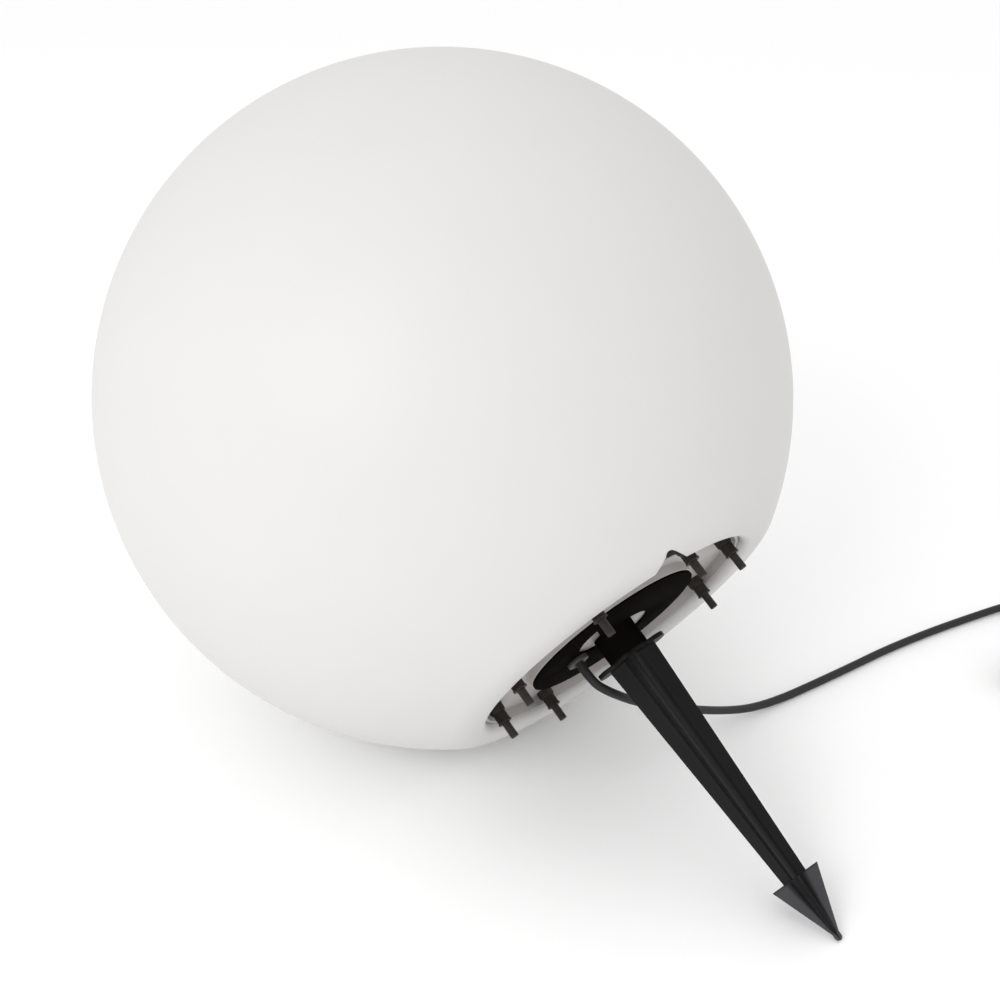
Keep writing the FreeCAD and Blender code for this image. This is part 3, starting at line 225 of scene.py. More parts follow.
def pick(piece):
    """Leaves only this piece selected and active."""
    object_mode()
    bpy.ops.object.select_all(action="DESELECT")
    piece.select_set(True)
    bpy.context.view_layer.objects.active = piece


def draw_line(name, points):
    """A chain of edges through the points, pulled out of one vertex as by hand."""
    object_mode()
    bpy.ops.object.select_all(action="DESELECT")
    bpy.ops.mesh.primitive_plane_add(size=MM, location=(0, 0, 0))
    piece = bpy.context.active_object
    piece.name = name
    bpy.ops.object.mode_set(mode="EDIT")
    bpy.ops.mesh.select_all(action="SELECT")
    bpy.ops.mesh.merge(type="CENTER")
    bpy.ops.transform.translate(value=points[0])
    for start, end in zip(points, points[1:]):
        bpy.ops.mesh.extrude_region_move(TRANSFORM_OT_translate={"value": end - start})
    return piece


def clean_edit(threshold=SPECK):
    """Merges doubles and turns all faces outwards, in edit mode."""
    bpy.ops.mesh.select_all(action="SELECT")
    bpy.ops.mesh.remove_doubles(threshold=threshold)
    bpy.ops.mesh.normals_make_consistent(inside=False)


def turned(name, outline, steps):
    """A turned piece from its half outline of radius and level, in the lamp's frame."""
    piece = draw_line(name, [Vector((radius, 0, level)) for radius, level in outline])
    bpy.ops.mesh.select_all(action="SELECT")
    bpy.ops.mesh.spin(steps=steps, angle=2 * math.pi, center=(0, 0, 0), axis=(0, 0, 1))
    clean_edit()
    object_mode()
    return piece


def arc(centre, radius, first, last, steps):
    """Points of radius and level on an arc; the angles are in degrees."""
    points = []
    for step in range(steps + 1):
        angle = math.radians(first + (last - first) * step / steps)
        points.append((centre[0] + radius * math.cos(angle), centre[1] + radius * math.sin(angle)))
    return points


def apply_modifier(piece, kind, settings):
    """Adds a modifier and applies it."""
    pick(piece)
    modifier = piece.modifiers.new(kind.lower(), kind)
    for key, value in settings.items():
        setattr(modifier, key, value)
    bpy.ops.object.modifier_apply(modifier=modifier.name)


def round_edges(piece, width_mm, segments=2):
    """Small moulded or machined rounds on all sharp edges."""
    apply_modifier(piece, "BEVEL", {
        "width": width_mm * MM,
        "segments": segments,
        "limit_method": "ANGLE",
        "angle_limit": math.radians(SHARP_ANGLE),
        "use_clamp_overlap": True,
    })
    bpy.ops.object.mode_set(mode="EDIT")
    clean_edit()
    bpy.ops.mesh.dissolve_degenerate(threshold=SPECK)
    object_mode()


def smooth(piece, angle=35):
    """Smooth shading, which leaves the edges that turn by more than the angle crisp."""
    pick(piece)
    bpy.ops.object.shade_smooth_by_angle(angle=math.radians(angle))


def lay_down(piece):
    """Brings a piece from the lamp's frame to where the lamp lies."""
    pick(piece)
    piece.matrix_world = LAMP @ piece.matrix_world
    bpy.ops.object.transform_apply(location=True, rotation=True, scale=True)


def coat(piece, material):
    """Gives a piece one material all over."""
    piece.data.materials.clear()
    piece.data.materials.append(material)


def put(piece, body, slot, material, *nodes):
    """Gives a finished piece its material, its body and the nodes that it stands for."""
    coat(piece, material)
    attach(piece, body)
    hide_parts(*nodes)


def copy_of(node, name):
    """A merged copy of a node's mesh, with its flat faces whole again."""
    piece = bpy.data.objects.new(name, frame["nodes"][node].data.copy())
    bpy.context.scene.collection.objects.link(piece)
    pick(piece)
    bpy.ops.object.mode_set(mode="EDIT")
    bpy.ops.mesh.select_all(action="SELECT")
    bpy.ops.mesh.remove_doubles(threshold=CAD_SPECK)
    bpy.ops.mesh.dissolve_limited(angle_limit=math.radians(FLAT_ANGLE))
    object_mode()
    return piece


def dress(node, body, slot, material, width_mm, segments=2):
    """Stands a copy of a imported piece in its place, with rounded edges and its finish."""
    piece = copy_of(node, "dressed_" + node)
    round_edges(piece, width_mm, segments)
    smooth(piece)
    put(piece, body, slot, material, node)
    return piece


# ---- materials ----


def add_node(tree, kind, settings=None, links=None):
    """Adds a node, sets its fields or unlinked sockets, and links its other sockets."""
    node = tree.nodes.new(kind)
    for key, value in (settings or {}).items():
        if isinstance(key, str) and hasattr(node, key):
            setattr(node, key, value)
        else:
            node.inputs[key].default_value = value
    for key, socket in (links or {}).items():
        tree.links.new(socket, node.inputs[key])
    return node


def shade(colour, factor):
    """A darker or lighter version of a colour."""
    return (colour[0] * factor, colour[1] * factor, colour[2] * factor, 1.0)


def grained(name, colour, spread, roughness, grain_mm, bump_mm, wander_mm, settings=None):
    """A surface whose colour drifts over wander_mm, by the share spread to either side, and
    whose grain of grain_mm stands bump_mm high. Roughness is the pair between which it
    drifts as well. Real blasted and eroded grain is too fine to show, under 0.1 mm, so it
    is drawn as coarse as it needs to show."""
    material = bpy.data.materials.new(name)
    material.use_nodes = True
    tree = material.node_tree
    shader = tree.nodes["Principled BSDF"]
    place = add_node(tree, "ShaderNodeTexCoord").outputs["Object"]
    drift = add_node(
        tree, "ShaderNodeTexNoise",
        {"Scale": 1.0 / (wander_mm * MM), "Detail": 3.0, "Roughness": 0.55}, {"Vector": place},
    )
    ramp = add_node(tree, "ShaderNodeValToRGB", links={"Fac": drift.outputs["Fac"]})
    ramp.color_ramp.elements[0].position = 0.3
    ramp.color_ramp.elements[1].position = 0.7
    ramp.color_ramp.elements[0].color = shade(colour, 1.0 - spread)
    ramp.color_ramp.elements[1].color = shade(colour, 1.0 + spread)
    polish = add_node(
        tree, "ShaderNodeMapRange",
        {"To Min": roughness[0], "To Max": roughness[1]}, {"Value": drift.outputs["Fac"]},
    )
    grain = add_node(
        tree, "ShaderNodeTexNoise",
        {"Scale": 1.0 / (grain_mm * MM), "Detail": 2.0}, {"Vector": place},
    )
    bump = add_node(
        tree, "ShaderNodeBump",
        {"Strength": 0.6, "Distance": bump_mm * MM}, {"Height": grain.outputs["Fac"]},
    )
    tree.links.new(ramp.outputs["Color"], shader.inputs["Base Color"])
    tree.links.new(polish.outputs["Result"], shader.inputs["Roughness"])
    tree.links.new(bump.outputs["Normal"], shader.inputs["Normal"])
    for key, value in (settings or {}).items():
        shader.inputs[key].default_value = value
    return material


def moulded_polyethylene():
    """Rotationally moulded polyethylene: waxy white with a faint orange peel and a broad,
    weak sheen, because the mould wall is only blasted."""
    return grained(
        "rotomoulded_polyethylene", bpy.context.scene.lamp_colours.globe, spread=0.008,
        roughness=(0.46, 0.54), grain_mm=1.6, bump_mm=0.035, wander_mm=90,
        settings={"IOR": 1.51, "Specular IOR Level": 0.35, "Subsurface Weight": 0.12,
                  "Subsurface Radius": (0.004, 0.004, 0.0036), "Subsurface Scale": 1.0},
    )


def moulded_abs():
    """Injection moulded ABS: mid grey with an even, semi-gloss skin."""
    return grained(
        "moulded_abs", bpy.context.scene.lamp_colours.pan, spread=0.05,
        roughness=(0.28, 0.4), grain_mm=0.9, bump_mm=0.02, wander_mm=35,
        settings={"IOR": 1.53},
    )


def moulded_nylon():
    """Glass-filled nylon: near black and satin, with shallow sink marks that make the
    reflections wander over the flat faces."""
    return grained(
        "glass_filled_nylon", bpy.context.scene.lamp_colours.black, spread=0.16,
        roughness=(0.36, 0.46), grain_mm=1.2, bump_mm=0.03, wander_mm=26,
        settings={"IOR": 1.53, "Specular IOR Level": 0.13},
    )


# The spike's arrow head along the lamp's axis, in millimetres: its start, its tip, and how far
# before and after its start it turns grey.
HEAD_LEVEL = 409.0
TIP_LEVEL = 456.0
HEAD_BEFORE = 0.5
HEAD_AFTER = 1.5
# A broad flat is painted grey, as painted light for the light that falls on its face, where its
# distance from the head's middle rib, as a share of what is left up to the tip, passes from the
# first value to the second. The share is made smaller where a face turns away from the flats, so
# that ribs and edges stay black.
FLAT_START = 0.12
FLAT_FULL = 0.19


def spike_nylon():
    """Nylon of the spike: satin black, and painted greyer on the two broad flats of the arrow
    head, as painted light where those faces catch the light; the ribs and edges stay black."""
    material = moulded_nylon()
    material.name = "glass_filled_nylon_painted_light_flats"
    tree = material.node_tree
    shader = tree.nodes["Principled BSDF"]
    skin = shader.inputs["Base Color"].links[0].from_socket
    place = add_node(tree, "ShaderNodeTexCoord")
    offset = add_node(
        tree, "ShaderNodeVectorMath", {"operation": "SUBTRACT", 1: GLOBE_CENTRE},
        {0: place.outputs["Object"]},
    )
    level, out, facing = [
        add_node(
            tree, "ShaderNodeVectorMath",
            {"operation": "DOT_PRODUCT", 1: LAMP.to_3x3() @ Vector(way)}, {0: vector},
        ).outputs["Value"]
        for vector, way in (
            (offset.outputs["Vector"], (0, 0, 1)),
            (offset.outputs["Vector"], (1, 0, 0)),
            (place.outputs["Normal"], (0, 1, 0)),
        )
    ]
    signed = add_node(tree, "ShaderNodeMath", {"operation": "MULTIPLY"}, {0: out, 1: facing})
    reach = add_node(tree, "ShaderNodeMath", {"operation": "ABSOLUTE"}, {0: signed.outputs[0]})
    left = add_node(
        tree, "ShaderNodeMath", {"operation": "SUBTRACT", 0: TIP_LEVEL * MM}, {1: level},
    )
    slope = add_node(
        tree, "ShaderNodeMath", {"operation": "DIVIDE"},
        {0: reach.outputs[0], 1: left.outputs[0]},
    )
    flat = add_node(
        tree, "ShaderNodeMapRange", {"From Min": FLAT_START, "From Max": FLAT_FULL},
        {"Value": slope.outputs[0]},
    )
    head = add_node(
        tree, "ShaderNodeMapRange",
        {"From Min": (HEAD_LEVEL - HEAD_BEFORE) * MM, "From Max": (HEAD_LEVEL + HEAD_AFTER) * MM},
        {"Value": level},
    )
    grey = add_node(
        tree, "ShaderNodeMath", {"operation": "MULTIPLY"},
        {0: flat.outputs["Result"], 1: head.outputs["Result"]},
    )
    # The mix's second colour, 3F3F41, is painted light on the flats of the arrow head.
    # Sockets 6 and 7 are the two colours of a mix node, and its output 2 is their mix.
    mix = add_node(
        tree, "ShaderNodeMix", {"data_type": "RGBA", 7: hex_colour("3F3F41")},
        {"Factor": grey.outputs[0], 6: skin},
    )
    tree.links.new(mix.outputs[2], shader.inputs["Base Color"])
    return material


def painted_shade_nylon():
    """Carrier disc: the same nylon, matt, painted a shade darker than the spike's black and
    with its gloss turned almost off, as painted shade for the shade in the recess where it sits."""
    return grained(
        "painted_shade_nylon", hex_colour("0D0B0A"), spread=0.12,
        roughness=(0.8, 0.95), grain_mm=0.5, bump_mm=0.04, wander_mm=18,
        settings={"IOR": 1.2, "Specular IOR Level": 0.04},
    )


def cable_rubber():
    """Extruded rubber sheath: dull charcoal with fine drag marks."""
    return grained(
        "extruded_rubber", bpy.context.scene.lamp_colours.cable, spread=0.1,
        roughness=(0.5, 0.66), grain_mm=0.8, bump_mm=0.03, wander_mm=14,
        settings={"IOR": 1.52, "Specular IOR Level": 0.3},
    )


def plug_rubber():
    """Moulded rubber of the plug, a little rougher than the sheath."""
    return grained(
        "moulded_rubber", hex_colour("222224"), spread=0.08,
        roughness=(0.58, 0.7), grain_mm=0.7, bump_mm=0.05, wander_mm=20,
        settings={"IOR": 1.52, "Specular IOR Level": 0.3},
    )


def blackened_steel():
    """Phosphated steel under oil: brown black and dull, in drifting patches."""
    return grained(
        "phosphated_steel", bpy.context.scene.lamp_colours.steel, spread=0.2,
        roughness=(0.42, 0.58), grain_mm=0.6, bump_mm=0.03, wander_mm=6,
        settings={"Metallic": 0.55, "Specular IOR Level": 0.3},
    )


def zinc_plate():
    """Bright zinc on pressed steel, with a cloudy bluish drift."""
    return grained(
        "zinc_plated_steel", hex_colour("A9ADB2"), spread=0.1,
        roughness=(0.28, 0.42), grain_mm=0.5, bump_mm=0.01, wander_mm=9,
        settings={"Metallic": 1.0},
    )


def grey_nylon():
    """Dark grey nylon of the cable gland, matt from a blasted mould."""
    return grained(
        "moulded_grey_nylon", hex_colour("3A3633"), spread=0.06,
        roughness=(0.42, 0.52), grain_mm=0.6, bump_mm=0.03, wander_mm=8,
        settings={"IOR": 1.53},
    )


def black_thermoset():
    """Pressed urea of the lamp holder: black, hard and slightly glossy."""
    return grained(
        "pressed_thermoset", hex_colour("161616"), spread=0.1,
        roughness=(0.25, 0.35), grain_mm=0.8, bump_mm=0.01, wander_mm=12,
    )


def porcelain():
    """Unglazed steatite: chalky off-white with a fine tooth."""
    return grained(
        "unglazed_steatite", hex_colour("E4E0D6"), spread=0.04,
        roughness=(0.6, 0.75), grain_mm=0.4, bump_mm=0.03, wander_mm=7,
    )


def nickel_plate():
    """Nickel on brass: warm and bright."""
    return grained(
        "nickel_plated_brass", hex_colour("B9B1A0"), spread=0.06,
        roughness=(0.2, 0.3), grain_mm=0.4, bump_mm=0.01, wander_mm=5,
        settings={"Metallic": 1.0},
    )


def white_polycarbonate():
    """Bulb housing: white moulded polycarbonate, lightly glossy."""
    return grained(
        "white_polycarbonate", hex_colour("E6E6E4"), spread=0.01,
        roughness=(0.3, 0.36), grain_mm=1.0, bump_mm=0.01, wander_mm=20,
    )


def opal_polycarbonate():
    """Opal diffuser: milky, because the light scatters a few millimetres into it."""
    return grained(
        "opal_polycarbonate", hex_colour("F0EFEA"), spread=0.01,
        roughness=(0.34, 0.4), grain_mm=1.0, bump_mm=0.01, wander_mm=20,
        settings={"Subsurface Weight": 0.4, "Subsurface Radius": (0.003, 0.003, 0.003),
                  "Subsurface Scale": 1.0},
    )


def natural_polyamide():
    """Terminal block: uncoloured polyamide, cream and satin."""
    return grained(
        "natural_polyamide", hex_colour("D8D2BE"), spread=0.03,
        roughness=(0.4, 0.5), grain_mm=0.8, bump_mm=0.01, wander_mm=10,
    )


def strap_nylon():
    """Coil strap: black nylon, satin."""
    return grained(
        "strap_nylon", hex_colour("1C1C1D"), spread=0.08,
        roughness=(0.4, 0.5), grain_mm=0.6, bump_mm=0.03, wander_mm=6,
    )


def gasket_rubber():
    """Cut sheet rubber of the seals, matt grey black."""
    return grained(
        "sheet_rubber", hex_colour("2A2A2A"), spread=0.06,
        roughness=(0.62, 0.74), grain_mm=0.8, bump_mm=0.03, wander_mm=12,
    )


def matt_paper():
    """Background paper under the lamp: even and without gloss."""
    return grained(
        "matt_paper", bpy.context.scene.lamp_colours.floor, spread=0.0,
        roughness=(0.8, 0.9), grain_mm=2.0, bump_mm=0.0, wander_mm=400,
        settings={"Specular IOR Level": 0.1},
    )


# ---- the globe ----

# Straight steps that stand for each round of the globe's outline, and for its full turn.
BALL_STEPS = 92
RIM_STEPS = 18
RECESS_STEPS = 10
INNER_STEPS = 40
TURN_STEPS = 240


def globe_outline(sizes):
    """The shell's half outline, from the outer pole round the rim to the inner pole."""
    ball = sizes.radius
    inner = ball - sizes.wall
    round_level = sizes.rim_level - sizes.rim_round
    meet = math.degrees(math.asin(round_level / (ball - sizes.rim_round)))
    round_radius = (ball - sizes.rim_round) * math.cos(math.radians(meet))
    shoulder = sizes.rim_level - sizes.recess_round
    flat_start = sizes.recess + sizes.recess_round
    under_lip = sizes.lip_level - sizes.wall
    inner_meet = math.degrees(math.asin(under_lip / inner))
    outline = arc((0, 0), ball, -90, meet, BALL_STEPS)
    outline += arc((round_radius, round_level), sizes.rim_round, meet, 90, RIM_STEPS)[1:]
    outline += arc((flat_start, shoulder), sizes.recess_round, 90, 180, RECESS_STEPS)
    outline += [(sizes.recess, sizes.lip_level), (sizes.mouth, sizes.lip_level)]
    outline += [(sizes.mouth, under_lip)]
    outline += arc((0, 0), inner, inner_meet, -90, INNER_STEPS)
    # Both poles lie on the axis itself, so that the spin closes them.
    outline[0] = (0.0, -ball)
    outline[-1] = (0.0, -inner)
    return outline


# Depth of the cable notch against the distance across it, in millimetres: a steep side, a
# round top and a long ramp.
NOTCH_LINE = ((-10.5, -4.0), (-8.6, 0.0), (-5.7, 5.9), (-4.2, 8.1), (-2.4, 8.7), (-0.5, 8.3),
              (1.5, 6.7), (6.5, 4.2), (14.1, 1.3), (18.0, -0.5))
NOTCH_OUT = 4.3      # how far outside the recess its middle lies, in millimetres
NOTCH_RISE = 0.187   # how steeply its floor rises outwards

# The skin round the notch that is divided finer, in millimetres along the notch and across it,
# the cuts in each of its edges, and how close its points lie when they are merged.
PATCH_START = -20.0
PATCH_END = 36.0
PATCH_SIDE = 21.0
PATCH_CUTS = 3
PATCH_MERGE = 0.02

# The black rubber clip lines the notch from its steep side to the start of its ramp; it is also a
# dark piece that stands for the shade at the top of the notch, as painted shade. All of this is
# in millimetres: its outer and inner outlines, how far it is let into the notch's floor, where
# along the notch it starts, how long it is, and the round on its edges.
CLIP_OUTER_LINE = NOTCH_LINE[1:7]
CLIP_INNER_LINE = ((-6.4, 0.1), (-5.6, 1.6), (-4.6, 4.2), (-2.2, 5.3), (0.9, 5.5))
CLIP_SINK = 0.4
CLIP_START = -14.5
CLIP_RUN = 13.0
CLIP_EDGE = 0.4


def notch_frame(sizes):
    """The notch's middle on the rim, and the directions along and across it."""
    middle = Vector((math.cos(sizes.notch_angle), math.sin(sizes.notch_angle), 0))
    middle = middle * (sizes.recess + NOTCH_OUT * MM)
    way = Vector((math.cos(sizes.notch_way), math.sin(sizes.notch_way), 0))
    return middle, way, Vector((-way.y, way.x, 0))


def notch_depth(across):
    """Depth of the notch's floor at a distance across it, straight between NOTCH_LINE's
    points. Outside of them there is no notch."""
    for (start, low), (end, high) in zip(NOTCH_LINE, NOTCH_LINE[1:]):
        if start <= across / MM <= end:
            return (low + (high - low) * (across / MM - start) / (end - start)) * MM
    return -math.inf


def press_notch(globe, sizes):
    """Presses the notch into the rim: the skin there is divided finer, painted with how far
    it stands above the notch's floor, displaced by that, and merged where it met."""
    middle, way, side = notch_frame(sizes)

    def notch_place(vertex):
        """How far a vertex lies along the notch and across it."""
        offset = vertex.co - middle
        return offset.dot(way), offset.dot(side)

    object_mode()
    for item in (globe.data.edges, globe.data.polygons):
        item.foreach_set("select", [False] * len(item))
    for vertex in globe.data.vertices:
        along, across = notch_place(vertex)
        vertex.select = (PATCH_START * MM < along < PATCH_END * MM
                         and abs(across) < PATCH_SIDE * MM
                         and vertex.co.z > sizes.lip_level)
    pick(globe)
    bpy.ops.object.mode_set(mode="EDIT")
    bpy.ops.mesh.select_mode(type="VERT")
    bpy.ops.mesh.subdivide(number_cuts=PATCH_CUTS)
    object_mode()
    group = globe.vertex_groups.new(name="notch")
    for vertex in globe.data.vertices:
        along, across = notch_place(vertex)
        if along < PATCH_START * MM or vertex.co.z < sizes.lip_level:
            continue
        level = sizes.rim_level - notch_depth(across) + NOTCH_RISE * along
        if vertex.co.z > level:
            share = (vertex.co.z - level) / sizes.notch_reach
            group.add([vertex.index], share, "REPLACE")
    apply_modifier(globe, "DISPLACE", {
        "direction": "Z", "strength": -sizes.notch_reach, "mid_level": 0.0,
        "vertex_group": group.name,
    })
    bpy.ops.object.mode_set(mode="EDIT")
    clean_edit(PATCH_MERGE * MM)
    object_mode()


def notch_clip(sizes):
    """The rubber clip in the notch, a dark piece that also stands in as painted shade at the
    notch's top: its outline is drawn across, closed, and pulled along.
    """
    middle, way, side = notch_frame(sizes)
    ahead = way + Vector((0, 0, NOTCH_RISE))
    start = middle + Vector((0, 0, sizes.rim_level)) + ahead * CLIP_START * MM
    outer = [(across, drop + CLIP_SINK) for across, drop in reversed(CLIP_OUTER_LINE)]
    points = [start + side * across * MM - Vector((0, 0, drop * MM))
              for across, drop in (*outer, *CLIP_INNER_LINE)]
    piece = draw_line("notch_clip_and_shade_strip", points)
    bpy.ops.mesh.select_all(action="SELECT")
    bpy.ops.mesh.edge_face_add()
    bpy.ops.mesh.extrude_region_move(TRANSFORM_OT_translate={"value": ahead * CLIP_RUN * MM})
    clean_edit()
    object_mode()
    return piece


class MakeGlobe(bpy.types.Operator):
    """Model the moulded globe with its rim, its recess and the notch with its clip"""

    bl_idname = "globe_light.globe"
    bl_label = "Globe"

    def execute(self, context):
        sizes = context.scene.globe_sizes
        globe = turned("globe", globe_outline(sizes), TURN_STEPS)
        press_notch(globe, sizes)
        smooth(globe, angle=40)
        lay_down(globe)
        put(globe, "lamp", "globe_plastic", moulded_polyethylene(), "globe_shell")
        clip = notch_clip(sizes)
        round_edges(clip, CLIP_EDGE)
        smooth(clip)
        lay_down(clip)
        put(clip, "lamp", "black_plastic", gasket_rubber(), "notch_clip")
        return {"FINISHED"}


# ---- the base ----


class MakeBase(bpy.types.Operator):
    """Dress the grey pan, the black carrier and the gland in the base"""

    bl_idname = "globe_light.base"
    bl_label = "Base"

    def execute(self, context):
        dress("base_pan", "lamp", "grey_plastic", moulded_abs(), width_mm=0.6)
        # The carrier's nylon is painted darker and glossless, as painted shade for the recess.
        dress("carrier", "lamp", "black_plastic", painted_shade_nylon(), width_mm=0.35)
        dress("gland_body", "lamp", "gland_plastic", grey_nylon(), width_mm=0.7)
        return {"FINISHED"}


# ---- the fixings ----

# The M6 thread on the studs: its pitch and its depth in millimetres, and then, in pitches,
# where its flank starts, where its crest starts and ends, and how far before the tip it stops.
THREAD_PITCH = 1.0
THREAD_DEPTH = 0.3
FLANK_START = 0.1
CREST_START = 0.45
CREST_END = 0.6
THREAD_STOP = 1.6

STUD_STEPS = 28   # faces round the turned part of a stud
HEAD_EDGE = 0.5   # round on the edges of its head, in millimetres


def stud_outline(sizes):
    """Half outline of one stud: its shank, the free end with an M6 thread, and its point."""
    pitch = THREAD_PITCH * MM
    depth = THREAD_DEPTH * MM
    crest = sizes.radius
    outline = [(0, sizes.shank_start), (sizes.shank, sizes.shank_start), (sizes.shank, sizes.seat)]
    level = sizes.seat
    while level < sizes.tip - THREAD_STOP * pitch:
        outline += [(crest - depth, level + FLANK_START * pitch),
                    (crest, level + CREST_START * pitch), (crest, level + CREST_END * pitch)]
        level += pitch
    outline += [(crest - depth, level + FLANK_START * pitch), (crest - depth, sizes.tip - depth)]
    outline += [(0, sizes.tip)]
    return outline


def one_stud(sizes):
    """A stud on the lamp's axis: turned shank and thread on a hexagon head."""
    stud = turned("stud", stud_outline(sizes), STUD_STEPS)
    bpy.ops.object.select_all(action="DESELECT")
    bpy.ops.mesh.primitive_cylinder_add(
        vertices=6, radius=sizes.flats / math.sqrt(3), depth=sizes.head,
        location=(0, 0, sizes.shank_start - sizes.head / 2), rotation=(0, 0, math.pi / 6),
    )
    head = bpy.context.active_object
    bpy.ops.object.mode_set(mode="EDIT")
    bpy.ops.mesh.select_all(action="SELECT")
    bpy.ops.mesh.bevel(offset=HEAD_EDGE * MM, segments=2)
    pick(stud)
    head.select_set(True)
    bpy.ops.object.join()
    bpy.ops.object.mode_set(mode="EDIT")
    clean_edit()
    smooth(stud)
    return stud


def stand_round(piece, sizes):
    """Copies of a piece round the circle of studs, each with its own mesh, as one group."""
    copies = []
    for number in range(sizes.count):
        angle = sizes.clock + 2 * math.pi * number / sizes.count
        copy = piece.copy()
        copy.data = piece.data.copy()
        bpy.context.scene.collection.objects.link(copy)
        place = Vector((math.cos(angle), math.sin(angle), 0)) * sizes.circle
        copy.matrix_world = Matrix.Translation(place) @ Matrix.Rotation(angle, 4, "Z")
        copies.append(copy)
    bpy.data.objects.remove(piece)
    pick(copies[0])
    for copy in copies:
        copy.select_set(True)
    bpy.ops.object.join()
    return bpy.context.active_object


class MakeFixings(bpy.types.Operator):
    """Turn the threaded studs, and dress their nuts, washers and sleeves"""

    bl_idname = "globe_light.fixings"
    bl_label = "Fixings"

    def execute(self, context):
        steel = blackened_steel()
        sizes = context.scene.stud_sizes
        studs = stand_round(one_stud(sizes), sizes)
        studs.name = "threaded_studs"
        lay_down(studs)
        put(studs, "lamp", "dark_steel", steel, "studs")
        dress("stud_washers", "lamp", "dark_steel", steel, width_mm=0.2)
        dress("stud_nuts", "lamp", "dark_steel", steel, width_mm=0.25)
        dress("stud_sleeves", "lamp", "dark_steel", steel, width_mm=0.25)
        return {"FINISHED"}


# ---- the spike ----


class MakeSpike(bpy.types.Operator):
    """Dress the ground spike with its moulded rounds"""

    bl_idname = "globe_light.spike"
    bl_label = "Spike"

    def execute(self, context):
        dress("spike", "spike", "black_plastic", spike_nylon(), width_mm=0.5, segments=3)
        return {"FINISHED"}


# ---- the cable ----

COIL_STEPS = 16      # points on each turn of the coil
LIFT_TURNS = 0.5     # turns over which the cable climbs from the lower layer to the upper
SLIGHT_TURN = 0.01   # a turn so small that its chord gives the cable's direction
TAIL_EASE = 0.3      # share of the tail from each of its ends to the point that bends it


def coil_heading():
    """The level direction in which the cable runs into its coil."""
    last = Vector(CABLE_POINTS[-1]) - Vector(CABLE_POINTS[-2])
    return Vector((last.x, last.y, 0)).normalized()


def coil_point(sizes, turns):
    """The wire's centre after so many turns, counted from the outside of the lower layer."""
    heading = coil_heading()
    outer = sizes.middle + sizes.pitch * sizes.turns_in / 2
    inner = outer - sizes.pitch * sizes.turns_in
    lean = math.atan2(sizes.pitch, 2 * math.pi * outer)
    angle = math.atan2(heading.x, -heading.y) + lean
    start = Vector(CABLE_POINTS[-1]) * MM + heading * sizes.diameter
    centre = start - Vector((math.cos(angle), math.sin(angle), 0)) * outer
    if turns <= sizes.turns_in:
        radius = outer - sizes.pitch * turns
    else:
        radius = inner + sizes.pitch * (turns - sizes.turns_in)
    climbed = (turns - sizes.turns_in + LIFT_TURNS / 2) / LIFT_TURNS
    lift = sizes.pitch * smooth_step(climbed)
    angle -= 2 * math.pi * turns
    return centre + Vector((radius * math.cos(angle), radius * math.sin(angle), lift))


def cable_points(sizes):
    """The whole line: out of the gland, along the floor, round the coil, to the plug."""
    start = LAMP @ (Vector(GLAND_MOUTH) * MM)
    points = [start, start + AXIS * EXIT_RUN * MM]
    points += [Vector(point) * MM for point in CABLE_POINTS]
    total = sizes.turns_in + sizes.turns_out
    steps = int(total * COIL_STEPS)
    points += [coil_point(sizes, total * step / steps) for step in range(steps + 1)]
    way = points[-1] - coil_point(sizes, total - SLIGHT_TURN)
    way = Vector((way.x, way.y, 0)).normalized()
    leave = points[-1] + way * sizes.diameter
    end = leave + way * sizes.tail
    end.z = sizes.plug_level
    ease = way * sizes.tail * TAIL_EASE
    points += [leave, leave + ease, end - ease, end]
    return points


class MakeCable(bpy.types.Operator):
    """Lay the rubber cable, its coil, its strap and its plug"""

    bl_idname = "globe_light.cable"
    bl_label = "Cable"

    def execute(self, context):
        sizes = context.scene.cable_sizes
        points = cable_points(sizes)
        curve = bpy.data.curves.new("cable", "CURVE")
        curve.dimensions = "3D"
        curve.resolution_u = 8
        curve.bevel_depth = sizes.diameter / 2
        curve.bevel_resolution = 5
        curve.use_fill_caps = True
        spline = curve.splines.new("NURBS")
        spline.points.add(len(points) - 1)
        for point, place in zip(spline.points, points):
            point.co = (*place, 1.0)
        spline.order_u = 3
        spline.use_endpoint_u = True
        cable = bpy.data.objects.new("cable", curve)
        context.scene.collection.objects.link(cable)
        put(cable, "lamp", "rubber", cable_rubber(), "cord_stretch", "cord_coil", "cord_tail")
        rubber = plug_rubber()
        pieces = [
            dress("plug_relief", "lamp", "rubber", rubber, width_mm=0.5),
            dress("plug_body", "lamp", "rubber", rubber, width_mm=1.2),
            dress("plug_pins", "lamp", "nickel_brass", nickel_plate(), width_mm=0.1),
            dress("coil_tie", "lamp", "tie_plastic", strap_nylon(), width_mm=0.25),
        ]
        return {"FINISHED"}


# ---- the pieces inside the globe ----


class FinishInside(bpy.types.Operator):
    """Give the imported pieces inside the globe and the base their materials"""

    bl_idname = "globe_light.inside"
    bl_label = "Inside"

    def execute(self, context):
        for material, nodes in (
            (zinc_plate(), ("backing_ring", "lamp_bracket", "holder_nipple", "nipple_nut")),
            (gasket_rubber(), ("base_gasket", "gland_seal")),
            (cable_rubber(), ("inner_cable",)),
            (moulded_nylon(), ("carrier_locknut",)),
            (grey_nylon(), ("gland_locknut",)),
            (black_thermoset(), ("holder_cap", "holder_barrel")),
            (porcelain(), ("holder_insert",)),
            (nickel_plate(), ("screw_shell", "centre_contact", "bulb_cap")),
            (white_polycarbonate(), ("bulb_housing",)),
            (opal_polycarbonate(), ("bulb_dome",)),
            (natural_polyamide(), ("terminal_block",)),
        ):
            for node in nodes:
                coat(frame["nodes"][node], material)
        return {"FINISHED"}


# ---- the stage ----

